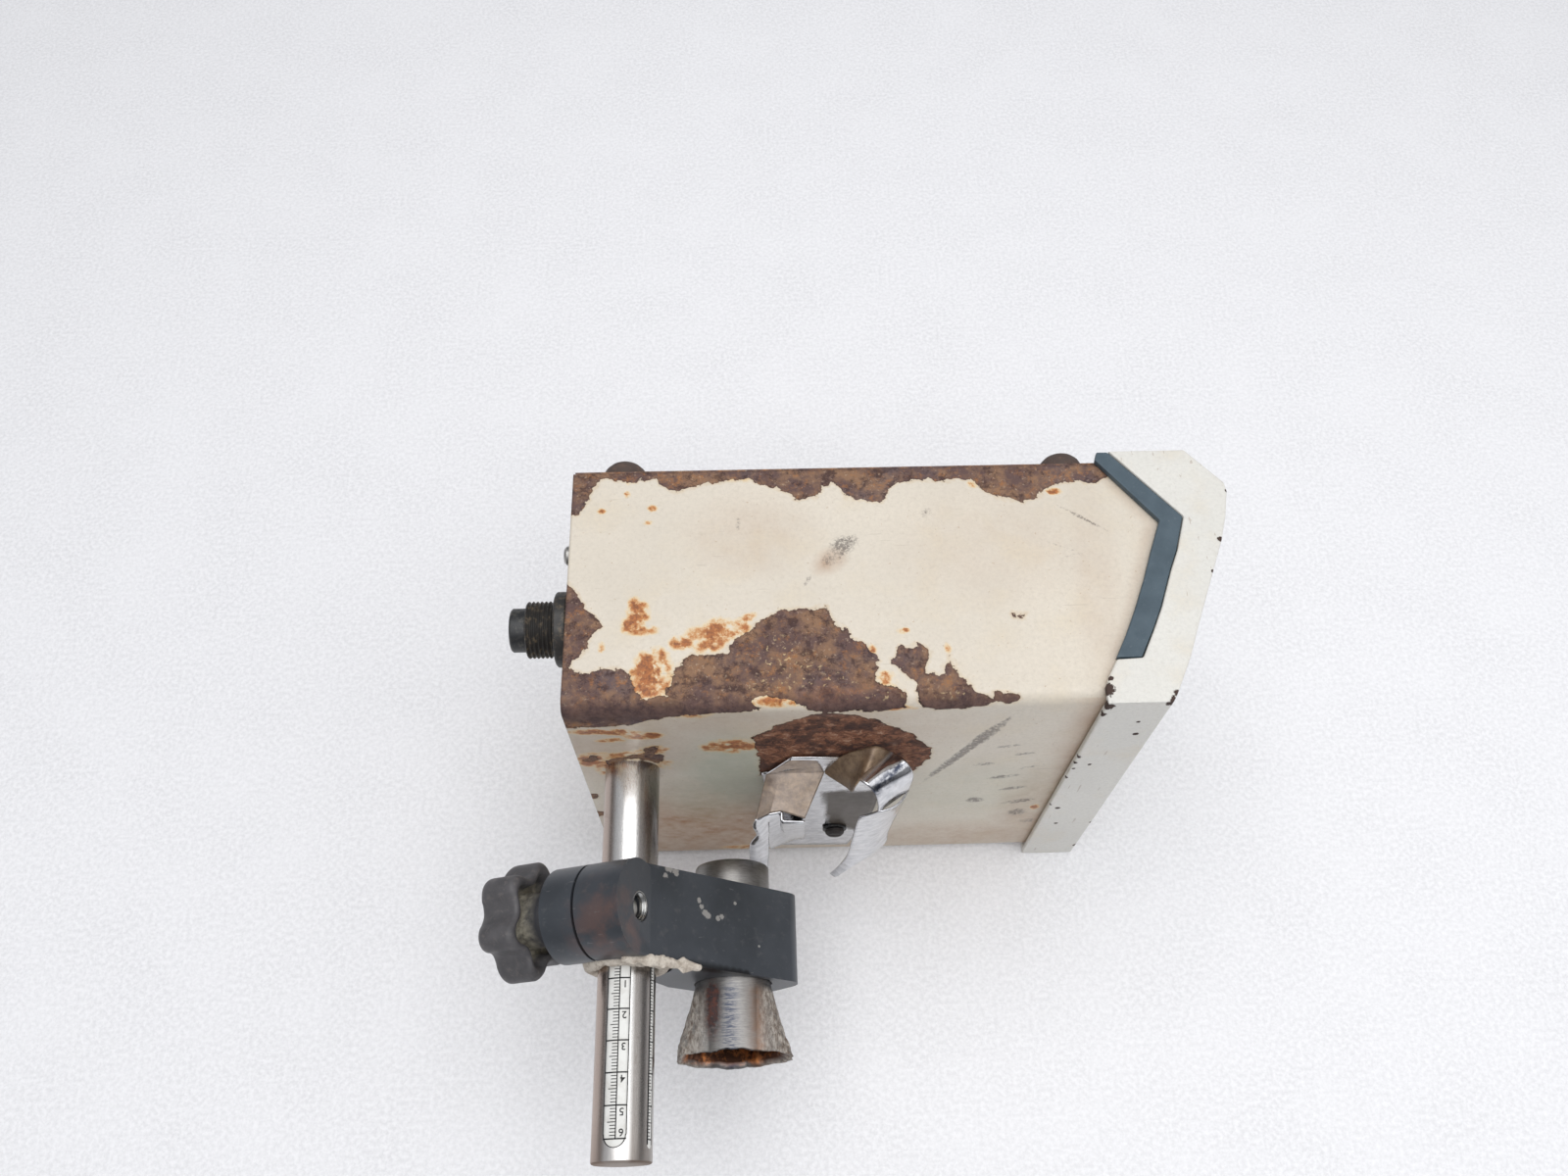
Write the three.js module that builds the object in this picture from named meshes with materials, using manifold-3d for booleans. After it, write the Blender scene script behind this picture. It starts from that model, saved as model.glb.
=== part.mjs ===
// Control box with a graduated mounting rod, a hand-knob clamp carrying a second post, and a tool clip.
// Units are millimetres, +Z up, the box lying on one side. X runs from the rear connector to the sloped
// front, Y from the rod face to the feet, Z across the box. Every piece is its own closed solid.
import * as THREE from "three";
import { mergeVertices } from "three/addons/utils/BufferGeometryUtils.js";
import Module from "manifold-3d";

const wasm = await Module();
wasm.setup();

// ---------------------------------------------------------------- driving dimensions
const GAP = 0.35;                 // clearance between neighbouring pieces
const SHEET = 1.2;                // sheet steel of the case
const CASE_H = 95;                // rod face to the feet plate
const CASE_D = 165;               // across the box
const LIFT = 3;                   // the bezel stands this far proud of the case on every side
const FOLD_R = 5;                 // outer radius of the cover folds
const ORIGIN = [102.723, -15.125, -LIFT];  // middle of the underside of the whole piece

const BEZEL_WALL = 2.4;
const LIP_X = 182;                // rear lip of the bezel on the rod face
const TRIM_T = 2.4;
const TRIM_LOW = 13.6;            // ends of the trim strips, up the side of the case
const TRIM_HIGH = 97.2;
const FEET_X = [17.5, 182];
const FEET_Z = [14, CASE_D - 14];
const REAR_SCREW_Y = 63;
const REAR_SCREW_Z = [7, CASE_D - 7];

const ROD_R = 10;
const ROD_X = 18.8;
const ROD_Z = 108;
const ROD_END = -134.4;
const ROD_SEAT = 24;              // how far the rod runs inside the case
const POST_R = 13.9;
const POST_BORE_R = 12.2;
const ARM_REACH = 47.6;           // rod centre to post centre
const ARM_TILT = THREE.MathUtils.degToRad(-41.4);
const ARM_TOP = -40;              // end of the clamp nearest the case
const ARM_END = -72.5;            // far end of the clamp
const ARM_STEP = -66;             // floor of the recess round the rod
const SCREW_TILT = THREE.MathUtils.degToRad(23.6);
const SCREW_OFF = 16.6;           // clamp screw axis to rod axis
const SCREW_Y = (ARM_TOP + ARM_END) / 2;
const JAW_R = 16.2;
const JAW_FACES = [-15.8, -3.6, -2.6, 14];   // jaw, split, fixed barrel, measured along the screw
const LINER_R = 11.4;
const KNOB_R = 20;

const SCALE_TOP = -64;            // upper end of the graduated strips, hidden in the clamp
const SCALE_END = -129.5;
const MAIN_ANGLE = -9;            // degrees round the rod from straight up
const SIDE_ANGLE = 66;

const PLUG_Y = 39;
const PLUG_Z = 147;
const CLIP_X = 96.5;
const CLIP_Z = 37;
const CLIP_T = 1;
const BOARD_Y = 78;
const BOARD_SCREW_X = [84, 170];
const BOARD_SCREW_Z = [30, 140];

// ---------------------------------------------------------------- helpers
const FRAMES = {
  x: [[0, 1, 0], [0, 0, 1], [1, 0, 0]],
  y: [[1, 0, 0], [0, 0, 1], [0, -1, 0]],
  z: [[1, 0, 0], [0, 1, 0], [0, 0, 1]],
};

function solid(geometry) {
  const plain = new THREE.BufferGeometry();
  const source = geometry.index ? geometry.toNonIndexed() : geometry;
  plain.setAttribute("position", source.getAttribute("position"));
  const merged = mergeVertices(plain, 1e-4);
  return new wasm.Manifold(new wasm.Mesh({
    numProp: 3,
    vertProperties: new Float32Array(merged.attributes.position.array),
    triVerts: new Uint32Array(merged.index.array),
  }));
}

// Prism of a closed outline, drawn in (y,z) for axis x, (x,z) for axis y, (x,y) for axis z.
function prism(points, axis, from, to) {
  const shape = new THREE.Shape(points.map(([u, v]) => new THREE.Vector2(u, v)));
  const geometry = new THREE.ExtrudeGeometry(shape, { depth: to - from, bevelEnabled: false });
  const [u, v, w] = FRAMES[axis].map((a) => new THREE.Vector3(...a));
  geometry.applyMatrix4(new THREE.Matrix4().makeBasis(u, v, w));
  const start = axis === "y" ? to : from;
  geometry.translate(axis === "x" ? start : 0, axis === "y" ? start : 0, axis === "z" ? start : 0);
  return solid(geometry);
}

function block(x0, x1, y0, y1, z0, z1) {
  const geometry = new THREE.BoxGeometry(x1 - x0, y1 - y0, z1 - z0);
  geometry.translate((x0 + x1) / 2, (y0 + y1) / 2, (z0 + z1) / 2);
  return solid(geometry);
}

// Solid of revolution about `dir` through `base`; profile is [radius, distance along dir].
function turned(profile, base, dir, segments = 32) {
  const geometry = new THREE.LatheGeometry(profile.map(([r, h]) => new THREE.Vector2(r, h)), segments);
  const turn = new THREE.Quaternion().setFromUnitVectors(
    new THREE.Vector3(0, 1, 0), new THREE.Vector3(...dir).normalize());
  geometry.applyQuaternion(turn);
  geometry.translate(...base);
  return solid(geometry);
}

function rod(base, dir, radius, from, to, segments = 32) {
  return turned([[0, from], [radius, from], [radius, to], [0, to]], base, dir, segments);
}

function arc(cx, cy, r, from, to, steps) {
  return Array.from({ length: steps + 1 }, (_, i) => {
    const a = THREE.MathUtils.degToRad(from + ((to - from) * i) / steps);
    return [cx + r * Math.cos(a), cy + r * Math.sin(a)];
  });
}

function union(...solids) {
  return solids.reduce((sum, s) => sum.add(s));
}

function cut(body, ...tools) {
  return tools.reduce((rest, t) => rest.subtract(t), body);
}

const part = new THREE.Group();
part.name = "instrument_box";

function piece(name, body, colour, roughness, metalness) {
  const out = body.getMesh();
  const geometry = new THREE.BufferGeometry();
  geometry.setAttribute("position", new THREE.BufferAttribute(new Float32Array(out.vertProperties), 3));
  geometry.setIndex(new THREE.BufferAttribute(new Uint32Array(out.triVerts), 1));
  geometry.translate(-ORIGIN[0], -ORIGIN[1], -ORIGIN[2]);
  geometry.computeVertexNormals();
  const material = new THREE.MeshStandardMaterial({ color: colour, roughness, metalness });
  const mesh = new THREE.Mesh(geometry, material);
  mesh.name = name;
  part.add(mesh);
  return mesh;
}

const CREAM = 0xd9cfbc;
const LIGHT_CREAM = 0xe6e2d8;
const SLATE = 0x4a5560;
const STEEL = 0xb8bcc0;
const BLACK = 0x26272a;
const ANODISED = 0x3c4147;

// ---------------------------------------------------------------- case
// Front outlines seen across the box: the sloped face, and the band the trim strip fills.
const FRONT = [[203.8, -LIFT], [205.8, 0.3], [212.2, 13], [219, 29.6], [225.2, 44], [231.3, 58.5],
  [234.6, 68.5], [237, 79]];
const TRIM_FRONT = [[196.3, TRIM_LOW], [201.8, 24.4], [205.7, 32.6], [211.4, 47.2], [214.9, 55], [219.4, 68.7],
  [196.3, TRIM_HIGH]];
const TRIM_REAR = [[192, TRIM_HIGH], [191, 93.5], [210.6, 67.5], [205.6, 55.1], [201.5, 44.2], [196.7, 32.8],
  [192, 22.8], [187.3, TRIM_LOW]];
const BEZEL_SIDE = [[LIP_X, -LIFT], ...FRONT, [236.6, 82.7], [224.3, TRIM_HIGH], ...TRIM_FRONT.slice().reverse(),
  [187.3, 13.2], [183.9, 7.4], [LIP_X, 3.2]];

function coverSection(inset) {
  const r = FOLD_R - inset;
  const far = CASE_D - inset;
  return [[CASE_H - 1.8, inset], ...arc(FOLD_R, FOLD_R, r, 270, 180, 6),
    ...arc(FOLD_R, CASE_D - FOLD_R, r, 180, 90, 6), [CASE_H - 1.8, far]];
}

const coverOutline = coverSection(0);
const coverInner = coverSection(SHEET).reverse();
const coverFront = [[-1, -1], [186, -1], [189.5, 13.5], [194, 22.8], [198.8, 32.8], [203.5, 44.2], [207.6, 55.1],
  [212, 67.5], [194.5, 93.5], [194.5, 96], [-1, 96]];
const cover = cut(
  prism([...coverOutline, ...coverInner], "x", 0, 214)
    .intersect(prism(coverFront, "z", -1, CASE_D + 1)),
  rod([ROD_X, 0, ROD_Z], [0, 1, 0], ROD_R + 0.4, -2, 4, 40),
  rod([CLIP_X, 0, CLIP_Z], [0, 1, 0], 2.6, -2, 4, 20),
);
piece("cover_shell", cover, CREAM, 0.5, 0.1);

const TRAY = SHEET + GAP;
const rearPanel = prism([[TRAY + 3, TRAY], [CASE_H, TRAY], [CASE_H, CASE_D - TRAY], [TRAY + 3, CASE_D - TRAY],
  [TRAY, CASE_D - TRAY - 3], [TRAY, TRAY + 3]], "x", 0.5, 0.5 + SHEET);
const feetPlate = block(0.5, 193, CASE_H - SHEET, CASE_H, TRAY, CASE_D - TRAY);
const tray = cut(
  union(rearPanel, feetPlate),
  rod([0, PLUG_Y, PLUG_Z], [1, 0, 0], 10.4, -2, 4, 32),
  ...REAR_SCREW_Z.map((z) => rod([0, REAR_SCREW_Y, z], [1, 0, 0], 1.9, -2, 4, 16)),
  ...FEET_X.flatMap((x) => FEET_Z.map((z) => rod([x, CASE_H, z], [0, 1, 0], 2.1, -4, 4, 16))),
);
piece("chassis_tray", tray, CREAM, 0.55, 0.1);

// ---------------------------------------------------------------- bezel, trim and front panel
const innerLow = BEZEL_WALL - LIFT;
const hollow = [[170, innerLow], [260, innerLow], [260, 78], [234.4, 80.4], [222.9, 95.3], [170, 95.3]];
const bezel = cut(
  prism(BEZEL_SIDE, "z", -LIFT, CASE_D + LIFT),
  prism(hollow, "z", innerLow, CASE_D - innerLow),
);
piece("front_bezel", bezel, LIGHT_CREAM, 0.45, 0.05);

const trimOutline = [...TRIM_FRONT.map(([x, y]) => [x - GAP, y]), ...TRIM_REAR]
  .map(([x, y]) => [x, Math.min(Math.max(y, TRIM_LOW + GAP), TRIM_HIGH - GAP)]);
piece("bezel_trim_upper", prism(trimOutline, "z", CASE_D + GAP, CASE_D + GAP + TRIM_T), SLATE, 0.5, 0.1);
piece("bezel_trim_lower", prism(trimOutline, "z", -GAP - TRIM_T, -GAP), SLATE, 0.5, 0.1);

function frontBand(near, far, y0, y1) {
  const inside = FRONT.filter(([, y]) => y > y0 && y < y1);
  const at = (y) => {
    const i = FRONT.findIndex(([, v]) => v >= y);
    const [x0, v0] = FRONT[i - 1];
    const [x1, v1] = FRONT[i];
    return x0 + ((x1 - x0) * (y - v0)) / (v1 - v0);
  };
  const line = [[at(y0), y0], ...inside, [at(y1), y1]];
  return [...line.map(([x, y]) => [x - near, y]), ...line.map(([x, y]) => [x - far, y]).reverse()];
}

const panel = cut(
  prism(frontBand(6, 8, 0, 77.5), "z", -0.2, CASE_D + 0.2),
  block(190, 240, 17.6, 50.4, 39.6, 125.4),
);
piece("front_panel", panel, LIGHT_CREAM, 0.5, 0.05);
const windowPane = prism(frontBand(6.2, 7.8, 18, 50), "z", 40, 125);
piece("display_window", windowPane, BLACK, 0.15, 0);
const displayBoard = prism(frontBand(14, 15.6, 14, 54), "z", 34, 131);
piece("display_board", displayBoard, 0x2f5d3a, 0.6, 0);

// ---------------------------------------------------------------- feet and case screws
let footNumber = 0;
for (const x of FEET_X) {
  for (const z of FEET_Z) {
    footNumber += 1;
    const base = [x, CASE_H + GAP, z];
    const foot = turned([[2.2, 0], [9, 0], [9, 3.5], [7.6, 6.8], [5.8, 8.8], [4.4, 8.8], [4.4, 4], [2.2, 4],
      [2.2, 0]], base, [0, 1, 0], 28);
    piece(`foot_${footNumber}`, foot, BLACK, 0.8, 0);
    const screw = turned([[0, -6], [1.7, -6], [1.7, 4.4], [3.8, 4.4], [3.8, 6], [2.6, 6.8], [0, 6.8]],
      base, [0, 1, 0], 16);
    piece(`foot_screw_${footNumber}`, screw, STEEL, 0.35, 0.9);
  }
}

["rear_screw_lower", "rear_screw_upper"].forEach((name, i) => {
  const z = REAR_SCREW_Z[i];
  const head = turned([[0, -4], [1.5, -4], [1.5, 0.85], [3.6, 0.85], [3.5, 1.9], [2.6, 2.8], [0, 3.1]],
    [0.3, REAR_SCREW_Y, z], [-1, 0, 0], 20);
  const slot = block(-4, -1.7, REAR_SCREW_Y - 0.4, REAR_SCREW_Y + 0.4, z - 2.6, z + 2.6);
  piece(name, cut(head, slot), STEEL, 0.35, 0.9);
});

// ---------------------------------------------------------------- rear connector
const plugBase = [0, PLUG_Y, PLUG_Z];
const out = [-1, 0, 0];
const threadTeeth = Array.from({ length: 6 }, (_, i) => [[10.3, 6.2 + i * 1.5], [9.5, 6.95 + i * 1.5]]).flat();
const shell = turned([[8.3, -14], [9.6, -14], [9.6, 6], ...threadTeeth, [10.3, 15.2], [9.9, 15.7], [8.3, 15.7],
  [8.3, -14]], plugBase, out, 32);
piece("connector_shell", shell, BLACK, 0.4, 0.6);
const keyway = block(-24, -15.9, PLUG_Y + 6.4, PLUG_Y + 9, PLUG_Z - 1.2, PLUG_Z + 1.2);
const insertCore = turned([[0, -13], [7.9, -13], [7.9, 20.9], [7.4, 21.5], [0, 21.5]], plugBase, out, 32);
const sockets = [0, 72, 144, 216, 288].map((deg) => {
  const a = THREE.MathUtils.degToRad(deg);
  return rod([0, PLUG_Y + 4.4 * Math.cos(a), PLUG_Z + 4.4 * Math.sin(a)], out, 0.9, 18, 25, 10);
});
piece("connector_insert", cut(insertCore, keyway, ...sockets), 0x1b1b1d, 0.55, 0);
const flangeNut = turned([[9.95, 0.6], [13.2, 0.6], [13.6, 1.2], [13.6, 4.9], [13, 5.5], [9.95, 5.5],
  [9.95, 0.6]], plugBase, out, 32);
piece("connector_flange", flangeNut, BLACK, 0.4, 0.6);
const backNut = cut(rod(plugBase, out, 13.4, -6.5, -2.3, 6), rod(plugBase, out, 9.95, -8, 0, 32));
piece("connector_nut", backNut, STEEL, 0.4, 0.9);

// ---------------------------------------------------------------- graduated rod and its socket
const rodBase = [ROD_X, 0, ROD_Z];
const rodProfile = [[0, ROD_END], [ROD_R - 1, ROD_END], [ROD_R, ROD_END + 1], [ROD_R, ROD_SEAT], [0, ROD_SEAT]];

function along(angle, r, side = 0) {
  const a = THREE.MathUtils.degToRad(angle);
  return [ROD_X + r * Math.sin(a) + side * Math.cos(a), ROD_Z + r * Math.cos(a) - side * Math.sin(a)];
}

// Strip lying in a slot along the rod, `angle` degrees round from straight up.
function strip(angle, half, bottom, top, y0, y1) {
  const outline = [along(angle, bottom, -half), along(angle, bottom, half), along(angle, top, half),
    along(angle, top, -half)];
  return prism(outline.reverse(), "y", y0, y1);
}

const rodBar = cut(
  turned(rodProfile, rodBase, [0, 1, 0], 48),
  strip(MAIN_ANGLE, 4.2, 8.4, 12, SCALE_END - 0.3, SCALE_TOP + 0.3),
  strip(SIDE_ANGLE, 1.4, 9, 12, SCALE_END - 0.3, SCALE_TOP + 0.3),
  rod(rodBase, [0, 1, 0], 3.4, 8, ROD_SEAT + 1, 20),
);
piece("mounting_rod", rodBar, STEEL, 0.25, 1);
piece("rod_scale_main", strip(MAIN_ANGLE, 3.9, 8.75, 9.15, SCALE_END, SCALE_TOP), 0xc9c9c4, 0.4, 0.6);
piece("rod_scale_side", strip(SIDE_ANGLE, 1.1, 9.3, 9.75, SCALE_END, SCALE_TOP), 0xc9c9c4, 0.4, 0.6);

const socketBlock = cut(
  block(2.2, 37, SHEET + GAP, 34, 90, 126),
  rod(rodBase, [0, 1, 0], ROD_R + 0.35, 0, ROD_SEAT + 0.4, 40),
  rod(rodBase, [0, 1, 0], 3.5, 20, 40, 20),
);
piece("rod_socket", socketBlock, 0x9a9a98, 0.5, 0.7);
const rodBolt = union(
  rod(rodBase, [0, 1, 0], 3, 9, 36, 16),
  rod(rodBase, [0, 1, 0], 6.5, 34.4, 38.6, 6),
);
piece("rod_bolt", rodBolt, STEEL, 0.35, 0.9);

// ---------------------------------------------------------------- clamp on the rod
const armA = [Math.cos(ARM_TILT), Math.sin(ARM_TILT)];
const armB = [-armA[1], armA[0]];
const armPoint = ([a, b]) => [ROD_X + a * armA[0] + b * armB[0], ROD_Z + a * armA[1] + b * armB[1]];
const screwU = [Math.cos(SCREW_TILT), 0, Math.sin(SCREW_TILT)];
const screwBase = [ROD_X - SCREW_OFF * screwU[2], SCREW_Y, ROD_Z + SCREW_OFF * screwU[0]];
const [jawFar, jawNear, barrelNear, barrelFar] = JAW_FACES;
const postXZ = armPoint([ARM_REACH, 0]);

const armOutline = [[-4, 16.5], [-8, 14], ...arc(0, 0, 17, 150, 270, 8), ...arc(51, 0, 17.5, 270, 360, 8),
  ...arc(61.5, 9.5, 7, 0, 90, 6)].map(armPoint).reverse();
const jawBarrel = (from, to) => rod(screwBase, screwU, JAW_R, from, to, 40);
const bore = rod(rodBase, [0, 1, 0], LINER_R + GAP, -80, -30, 40);
const recess = rod(rodBase, [0, 1, 0], 15.6, ARM_END - 2, ARM_STEP, 40);
const armSlab = cut(
  prism(armOutline, "y", ARM_END, ARM_TOP),
  rod(screwBase, screwU, 60, -80, barrelNear, 40),
);
const postSeat = rod([postXZ[0], 0, postXZ[1]], [0, 1, 0], POST_R + GAP, -80, -30, 44);
const grubDir = [armA[0], 0, armA[1]];
const grubBase = [armPoint([62.3, 0])[0], SCREW_Y, armPoint([62.3, 0])[1]];
const armBody = cut(
  union(armSlab, jawBarrel(barrelNear, barrelFar)),
  bore,
  recess,
  postSeat,
  rod(screwBase, screwU, 4.35, -30, 30, 24),
  rod(screwBase, screwU, 5.2, barrelFar - 1.2, 30, 24),
  rod(grubBase, grubDir, 2.8, -2, 12, 18),
);
piece("clamp_body", armBody, ANODISED, 0.4, 0.5);

const jaw = cut(
  jawBarrel(jawFar, jawNear),
  bore,
  recess,
  rod(screwBase, screwU, 4.5, -30, 30, 24),
);
piece("clamp_jaw", jaw, ANODISED, 0.4, 0.5);

const liner = turned([[ROD_R + GAP, ARM_TOP + 0.2], [LINER_R, ARM_TOP + 0.2], [LINER_R, ARM_STEP - 0.35],
  [15.1, ARM_STEP - 0.35], [14.4, ARM_END], [ROD_R + GAP, ARM_END], [ROD_R + GAP, ARM_TOP + 0.2]].reverse(),
  rodBase, [0, 1, 0], 40);
piece("clamp_liner", liner, 0xc8bca4, 0.8, 0);

const washer = turned([[4.5, jawFar - 1.9], [9.5, jawFar - 1.9], [9.5, jawFar - 0.4], [4.5, jawFar - 0.4],
  [4.5, jawFar - 1.9]], screwBase, screwU, 28);
piece("knob_washer", washer, STEEL, 0.35, 0.9);

const stud = turned([[0, -34.5], [4, -34.5], [4, 10.2], [3.2, 11], [0, 11]], screwBase, screwU, 24);
piece("knob_stud", stud, STEEL, 0.35, 0.9);

const lobes = 6;
const star = Array.from({ length: 72 }, (_, i) => {
  const a = (i / 72) * Math.PI * 2;
  const r = KNOB_R - 2.6 + 2.6 * Math.cos(lobes * a);
  return new THREE.Vector2(r * Math.cos(a), r * Math.sin(a));
});
const starGeometry = new THREE.ExtrudeGeometry(new THREE.Shape(star), {
  depth: 9, bevelEnabled: true, bevelThickness: 1.5, bevelSize: 1.2, bevelOffset: -1.2, bevelSegments: 1,
});
starGeometry.applyQuaternion(new THREE.Quaternion().setFromUnitVectors(
  new THREE.Vector3(0, 0, 1), new THREE.Vector3(...screwU)));
const starAt = jawFar - 22.2;
starGeometry.translate(...screwBase.map((c, i) => c + starAt * screwU[i]));
const hubEnd = jawFar - 2.3;
const hub = turned([[0, starAt + 8], [11, starAt + 8], [8.6, hubEnd], [0, hubEnd]], screwBase, screwU, 28);
const knob = cut(
  union(solid(starGeometry), hub),
  rod(screwBase, screwU, 4.35, -34.9, -15, 24),
);
piece("clamp_knob", knob, 0x3a3836, 0.6, 0);

// ---------------------------------------------------------------- post with its torn, spread end
function postRing(y, rx, rz, ragged = 0, lift = 0) {
  return Array.from({ length: 44 }, (_, i) => {
    const a = (i / 44) * Math.PI * 2;
    const tear = ragged * (Math.sin(5 * a + 0.6) + 0.7 * Math.sin(11 * a + 2) + 0.4 * Math.sin(17 * a));
    return new THREE.Vector3(postXZ[0] + (rx + tear * 0.35) * Math.cos(a), y + tear + lift,
      postXZ[1] + rz * Math.sin(a));
  });
}

// Closed skin over a stack of equal rings, first and last ring closed by a fan.
function skin(rings) {
  const points = [];
  const quad = (a, b, c, d) => points.push(a, b, c, a, c, d);
  for (let k = 0; k + 1 < rings.length; k += 1) {
    for (let i = 0; i < rings[k].length; i += 1) {
      const j = (i + 1) % rings[k].length;
      quad(rings[k][i], rings[k][j], rings[k + 1][j], rings[k + 1][i]);
    }
  }
  for (const [ring, flip] of [[rings[0], true], [rings[rings.length - 1], false]]) {
    const centre = ring.reduce((s, p) => s.clone().add(p)).divideScalar(ring.length);
    for (let i = 0; i < ring.length; i += 1) {
      const j = (i + 1) % ring.length;
      points.push(...(flip ? [centre, ring[j], ring[i]] : [centre, ring[i], ring[j]]));
    }
  }
  return solid(new THREE.BufferGeometry().setFromPoints(points));
}

const post = skin([
  postRing(-29.3, POST_R - 0.8, POST_R - 0.8),
  postRing(-30.1, POST_R, POST_R),
  postRing(-76, POST_R, POST_R),
  postRing(-82, POST_R + 1, POST_R),
  postRing(-88, POST_R + 2.6, POST_R),
  postRing(-94, POST_R + 4.8, POST_R, 0.3),
  postRing(-99, POST_R + 6.6, POST_R - 0.2, 0.7),
  postRing(-95, POST_R + 3.8, POST_R - 1.7, 0.3),
  postRing(-84, POST_BORE_R + 1, POST_BORE_R),
  postRing(-74, POST_BORE_R, POST_BORE_R),
  postRing(-38, POST_BORE_R, POST_BORE_R),
]);
piece("post_tube", post, STEEL, 0.25, 1);

const grub = turned([[0, 0], [2.5, 0], [2.5, 4], [1.3, 4], [1.3, 2], [0, 2]], grubBase, grubDir, 18);
piece("post_set_screw", grub, STEEL, 0.4, 0.9);

// ---------------------------------------------------------------- tool clip
// Even-thickness outline round an open line of points.
function ribbon(points, t) {
  const side = (sign) => points.map((p, i) => {
    const before = points[Math.max(i - 1, 0)];
    const after = points[Math.min(i + 1, points.length - 1)];
    const dx = after[0] - before[0];
    const dy = after[1] - before[1];
    const n = Math.hypot(dx, dy);
    return [p[0] + (sign * dy * t) / (2 * n), p[1] - (sign * dx * t) / (2 * n)];
  });
  return [...side(1), ...side(-1).reverse()];
}

const clipOutline = [[69, 20], [73, 25.5], [79, 27], [86, 22], [92, 18.5], [99, 15.5], [108, 13], [117, 13],
  [119, 30], [122, 97], [116, 122], [112, 127], [95, 124.5], [77, 127], [68, 110]];
const clipWindow = [[75, 111], [89.4, 108.5], [84, 49], [74, 46.7]];
const leftArm = [[70.5, -0.9], [64.4, -2.4], [63.4, -6], [61.6, -10.4], [61.2, -19], [63, -24.5], [66.8, -27.3]];
const rightArm = [[113, -0.9], [118.4, -1.6], [120, -5.5], [117.6, -11.4], [110.5, -15.4], [103, -16.4],
  [97.8, -19.6], [93.6, -24.4]];
const lipArc = ribbon(arc(0, -8, 7.5, 100, -170, 12), CLIP_T);
const lipGeometry = new THREE.ExtrudeGeometry(
  new THREE.Shape(lipArc.map(([x, y]) => new THREE.Vector2(x, y))), { depth: 27, bevelEnabled: false });
lipGeometry.rotateY(THREE.MathUtils.degToRad(28));
lipGeometry.translate(104.6, -0.1, 93);
const clip = cut(
  union(
    prism(clipOutline.slice().reverse(), "y", -0.4 - CLIP_T, -0.4),
    prism(ribbon(leftArm, CLIP_T), "z", 20.5, 46),
    prism(ribbon(rightArm, CLIP_T), "z", 26, 54),
    solid(lipGeometry),
  ),
  prism(clipWindow, "y", -3, 1),
  rod([CLIP_X, 0, CLIP_Z], [0, 1, 0], 2.5, -3, 1, 20),
);
piece("tool_clip", clip, 0xc4c7ca, 0.12, 1);
const clipAt = [CLIP_X, 0, CLIP_Z];
piece("clip_washer", turned([[2.3, 1.7], [5, 1.7], [5, 2.5], [2.3, 2.5], [2.3, 1.7]], clipAt, [0, -1, 0], 24),
  STEEL, 0.35, 0.9);
const clipScrew = cut(
  turned([[0, -7], [1.95, -7], [1.95, 2.85], [4, 2.85], [3.9, 4], [2.8, 5], [0, 5.3]], clipAt, [0, -1, 0], 24),
  block(CLIP_X - 3.2, CLIP_X + 3.2, -6, -4.2, CLIP_Z - 0.4, CLIP_Z + 0.4),
);
piece("clip_screw", clipScrew, STEEL, 0.35, 0.9);

// ---------------------------------------------------------------- inside the case
const board = cut(
  block(78, 176, BOARD_Y, BOARD_Y + 1.6, 24, 146),
  ...BOARD_SCREW_X.flatMap((x) => BOARD_SCREW_Z.map((z) => rod([x, BOARD_Y, z], [0, 1, 0], 1.8, -2, 4, 14))),
);
piece("circuit_board", board, 0x2f5d3a, 0.6, 0);
let postNumber = 0;
for (const x of BOARD_SCREW_X) {
  for (const z of BOARD_SCREW_Z) {
    postNumber += 1;
    const standoff = turned([[0, -1.4], [1.5, -1.4], [1.5, 1.95], [3.2, 1.95], [3.2, 15.4], [0, 15.4]],
      [x, BOARD_Y, z], [0, 1, 0], 12);
    piece(`board_standoff_${postNumber}`, standoff, 0xb59a55, 0.4, 0.8);
  }
}

const core = cut(
  block(8, 64, 44, 93, 30, 56),
  block(17, 27, 53, 84, 25, 60),
  block(45, 55, 53, 84, 25, 60),
);
piece("transformer_core", core, 0x5a5550, 0.6, 0.6);
const coil = cut(
  block(17.4, 54.6, 53.4, 83.6, 22, 64),
  block(26.6, 45.4, 50, 90, 29.6, 56.4),
);
piece("transformer_coil", coil, 0x9c5a2a, 0.6, 0.1);
piece("relay_1", block(96, 124, BOARD_Y - 16.3, BOARD_Y - 0.3, 36, 49), 0x2b4a7a, 0.5, 0);
piece("relay_2", block(96, 124, BOARD_Y - 16.3, BOARD_Y - 0.3, 54, 67), 0x2b4a7a, 0.5, 0);
piece("smoothing_capacitor", turned([[0, 0.3], [8, 0.3], [8, 24], [7.4, 25], [0, 25]], [150, BOARD_Y, 48],
  [0, -1, 0], 24), 0x22242c, 0.4, 0.1);
const terminals = cut(
  block(84, 94, BOARD_Y - 12.3, BOARD_Y - 0.3, 90, 126),
  ...[94, 101, 108, 115, 122].map((z) => rod([89, BOARD_Y - 12, z], [0, 1, 0], 2, -2, 5, 12)),
);
piece("terminal_block", terminals, 0x3f7a4a, 0.5, 0);

export default part;
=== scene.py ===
# Rusted instrument box lying on its side, with its graduated rod, knob clamp, post and tool clip.
# Lengths in the tables below are millimetres measured from the case's own corner: X from the rear to the
# sloped front, Y from the rod face to the feet, Z across the box. at() turns them into the frame's metres.
import math

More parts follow.
